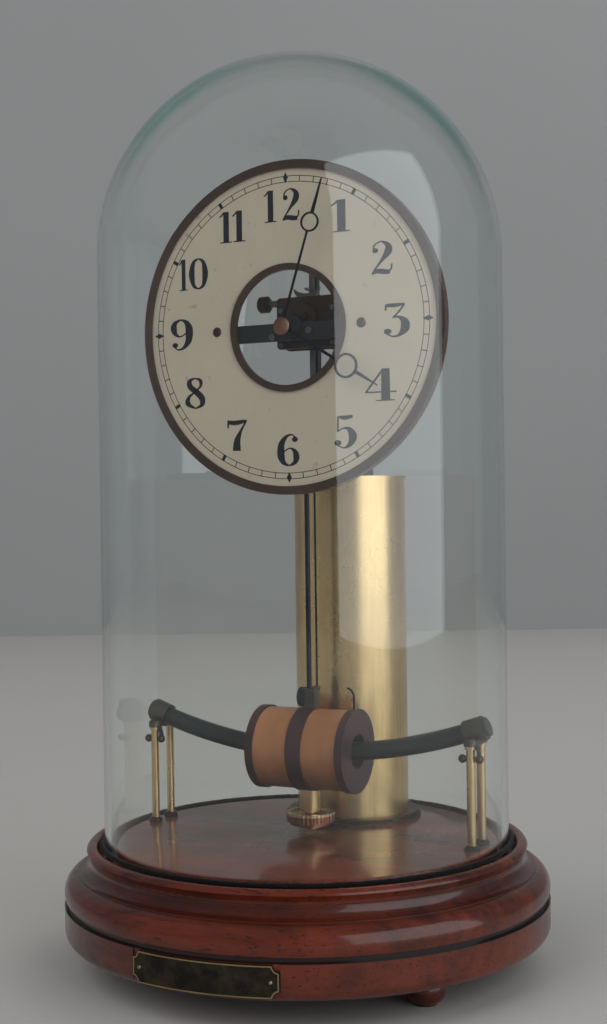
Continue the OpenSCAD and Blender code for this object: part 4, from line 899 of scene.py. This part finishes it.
class DOMECLOCK_OT_stage(bpy.types.Operator):
    """Set the pale floor, the wall, the lamps and the camera"""

    bl_idname = "domeclock.stage"
    bl_label = "Stage"

    def execute(self, context):
        scene = context.scene
        c = scene.dome_clock_colours
        camera = bpy.data.objects.new("camera", bpy.data.cameras.new("camera"))
        scene.collection.objects.link(camera)
        camera.data.lens = CAMERA_LENS
        camera.data.sensor_width = 36.0
        camera.data.clip_start = 0.05
        axes = Matrix((CAMERA_RIGHT, CAMERA_UP, CAMERA_RIGHT.cross(CAMERA_UP)))
        camera.matrix_world = Matrix.Translation(CAMERA_PLACE) @ axes.transposed().to_4x4()
        scene.camera = camera

        for name, shade, rough in (("floor", c.floor, 0.6), ("wall", c.wall, 0.9)):
            f = Finish(name)
            cloud = f.noise(3.0, 3.0, 0.5)
            base = f.mix(cloud, tint(shade, 0.97), tint(shade, 1.03))
            surface = f.shader(Base_Color=base, Roughness=rough)
            # The wall is clear from its back, so that it hides nothing in views from behind
            if name == "wall":
                back = f.node("ShaderNodeNewGeometry", output="Backfacing")
                clear = f.node("ShaderNodeBsdfTransparent")
                surface = f.node("ShaderNodeMixShader", None, {0: back, 1: surface, 2: clear})
            FINISHES[name] = f.done(surface)
        floor = bmesh.new()
        bmesh.ops.create_grid(floor, x_segments=1, y_segments=1, size=STAGE_SIZE)
        self.stand_in(floor, "floor")
        wall = bmesh.new()
        middle_of_wall = WALL_DIRECTION * scene.dome_clock_sizes.backdrop_distance
        middle_of_wall.z = WALL_MIDDLE
        facing = Matrix.Rotation(math.radians(WALL_TURN), 4, "Z") @ UPRIGHT
        bmesh.ops.create_grid(wall, x_segments=1, y_segments=1, size=STAGE_SIZE,
                              matrix=Matrix.Translation(middle_of_wall) @ facing)
        self.stand_in(wall, "wall")

        for values in LAMPS:
            self.lamp(*values)
        world = bpy.data.worlds.new("studio")
        scene.world = world
        world.use_nodes = True
        background = world.node_tree.nodes["Background"]
        background.inputs["Color"].default_value = WORLD_COLOUR
        background.inputs["Strength"].default_value = WORLD_STRENGTH
        scene.view_settings.view_transform = "Standard"
        return {"FINISHED"}

    def stand_in(self, bm, name):
        """Makes the bmesh a piece of the stage."""
        mesh = bpy.data.meshes.new(name)
        bm.to_mesh(mesh)
        bm.free()
        mesh.materials.append(FINISHES[name])
        obj = bpy.data.objects.new(name, mesh)
        bpy.context.scene.collection.objects.link(obj)

    def lamp(self, name, place, target, size, power, shade, mirrored):
        data = bpy.data.lights.new(name, "AREA")
        data.shape = "RECTANGLE"
        data.size, data.size_y = size
        data.energy = power
        data.color = shade
        obj = bpy.data.objects.new(name, data)
        bpy.context.scene.collection.objects.link(obj)
        obj.location = place
        obj.rotation_euler = (Vector(target) - Vector(place)).to_track_quat("-Z", "Y").to_euler()
        obj.visible_camera = False
        obj.visible_transmission = mirrored
        obj.visible_glossy = mirrored


OPERATORS = (
    DOMECLOCK_OT_surfaces,
    DOMECLOCK_OT_dial_figures,
    DOMECLOCK_OT_soft_seal,
    DOMECLOCK_OT_plate_border,
    DOMECLOCK_OT_pillar_knobs,
    DOMECLOCK_OT_stage,
)


class DOMECLOCK_PT_panel(bpy.types.Panel):
    bl_label = "Dome Clock"
    bl_idname = "DOMECLOCK_PT_panel"
    bl_space_type = "VIEW_3D"
    bl_region_type = "UI"
    bl_category = "Dome Clock"

    def draw(self, context):
        for group in (context.scene.dome_clock_sizes, context.scene.dome_clock_colours):
            box = self.layout.box()
            for name in group.__annotations__:
                box.prop(group, name)
        for operator in OPERATORS:
            self.layout.operator(operator.bl_idname)


CLASSES = (DomeClockSizes, DomeClockColours) + OPERATORS + (DOMECLOCK_PT_panel,)


def register():
    for cls in CLASSES:
        bpy.utils.register_class(cls)
    bpy.types.Scene.dome_clock_sizes = bpy.props.PointerProperty(type=DomeClockSizes)
    bpy.types.Scene.dome_clock_colours = bpy.props.PointerProperty(type=DomeClockColours)


def unregister():
    del bpy.types.Scene.dome_clock_colours
    del bpy.types.Scene.dome_clock_sizes
    for cls in reversed(CLASSES):
        bpy.utils.unregister_class(cls)


def main():
    register()
    for operator in OPERATORS:
        group, name = operator.bl_idname.split(".")
        getattr(getattr(bpy.ops, group), name)()


if __name__ == "__main__":
    main()
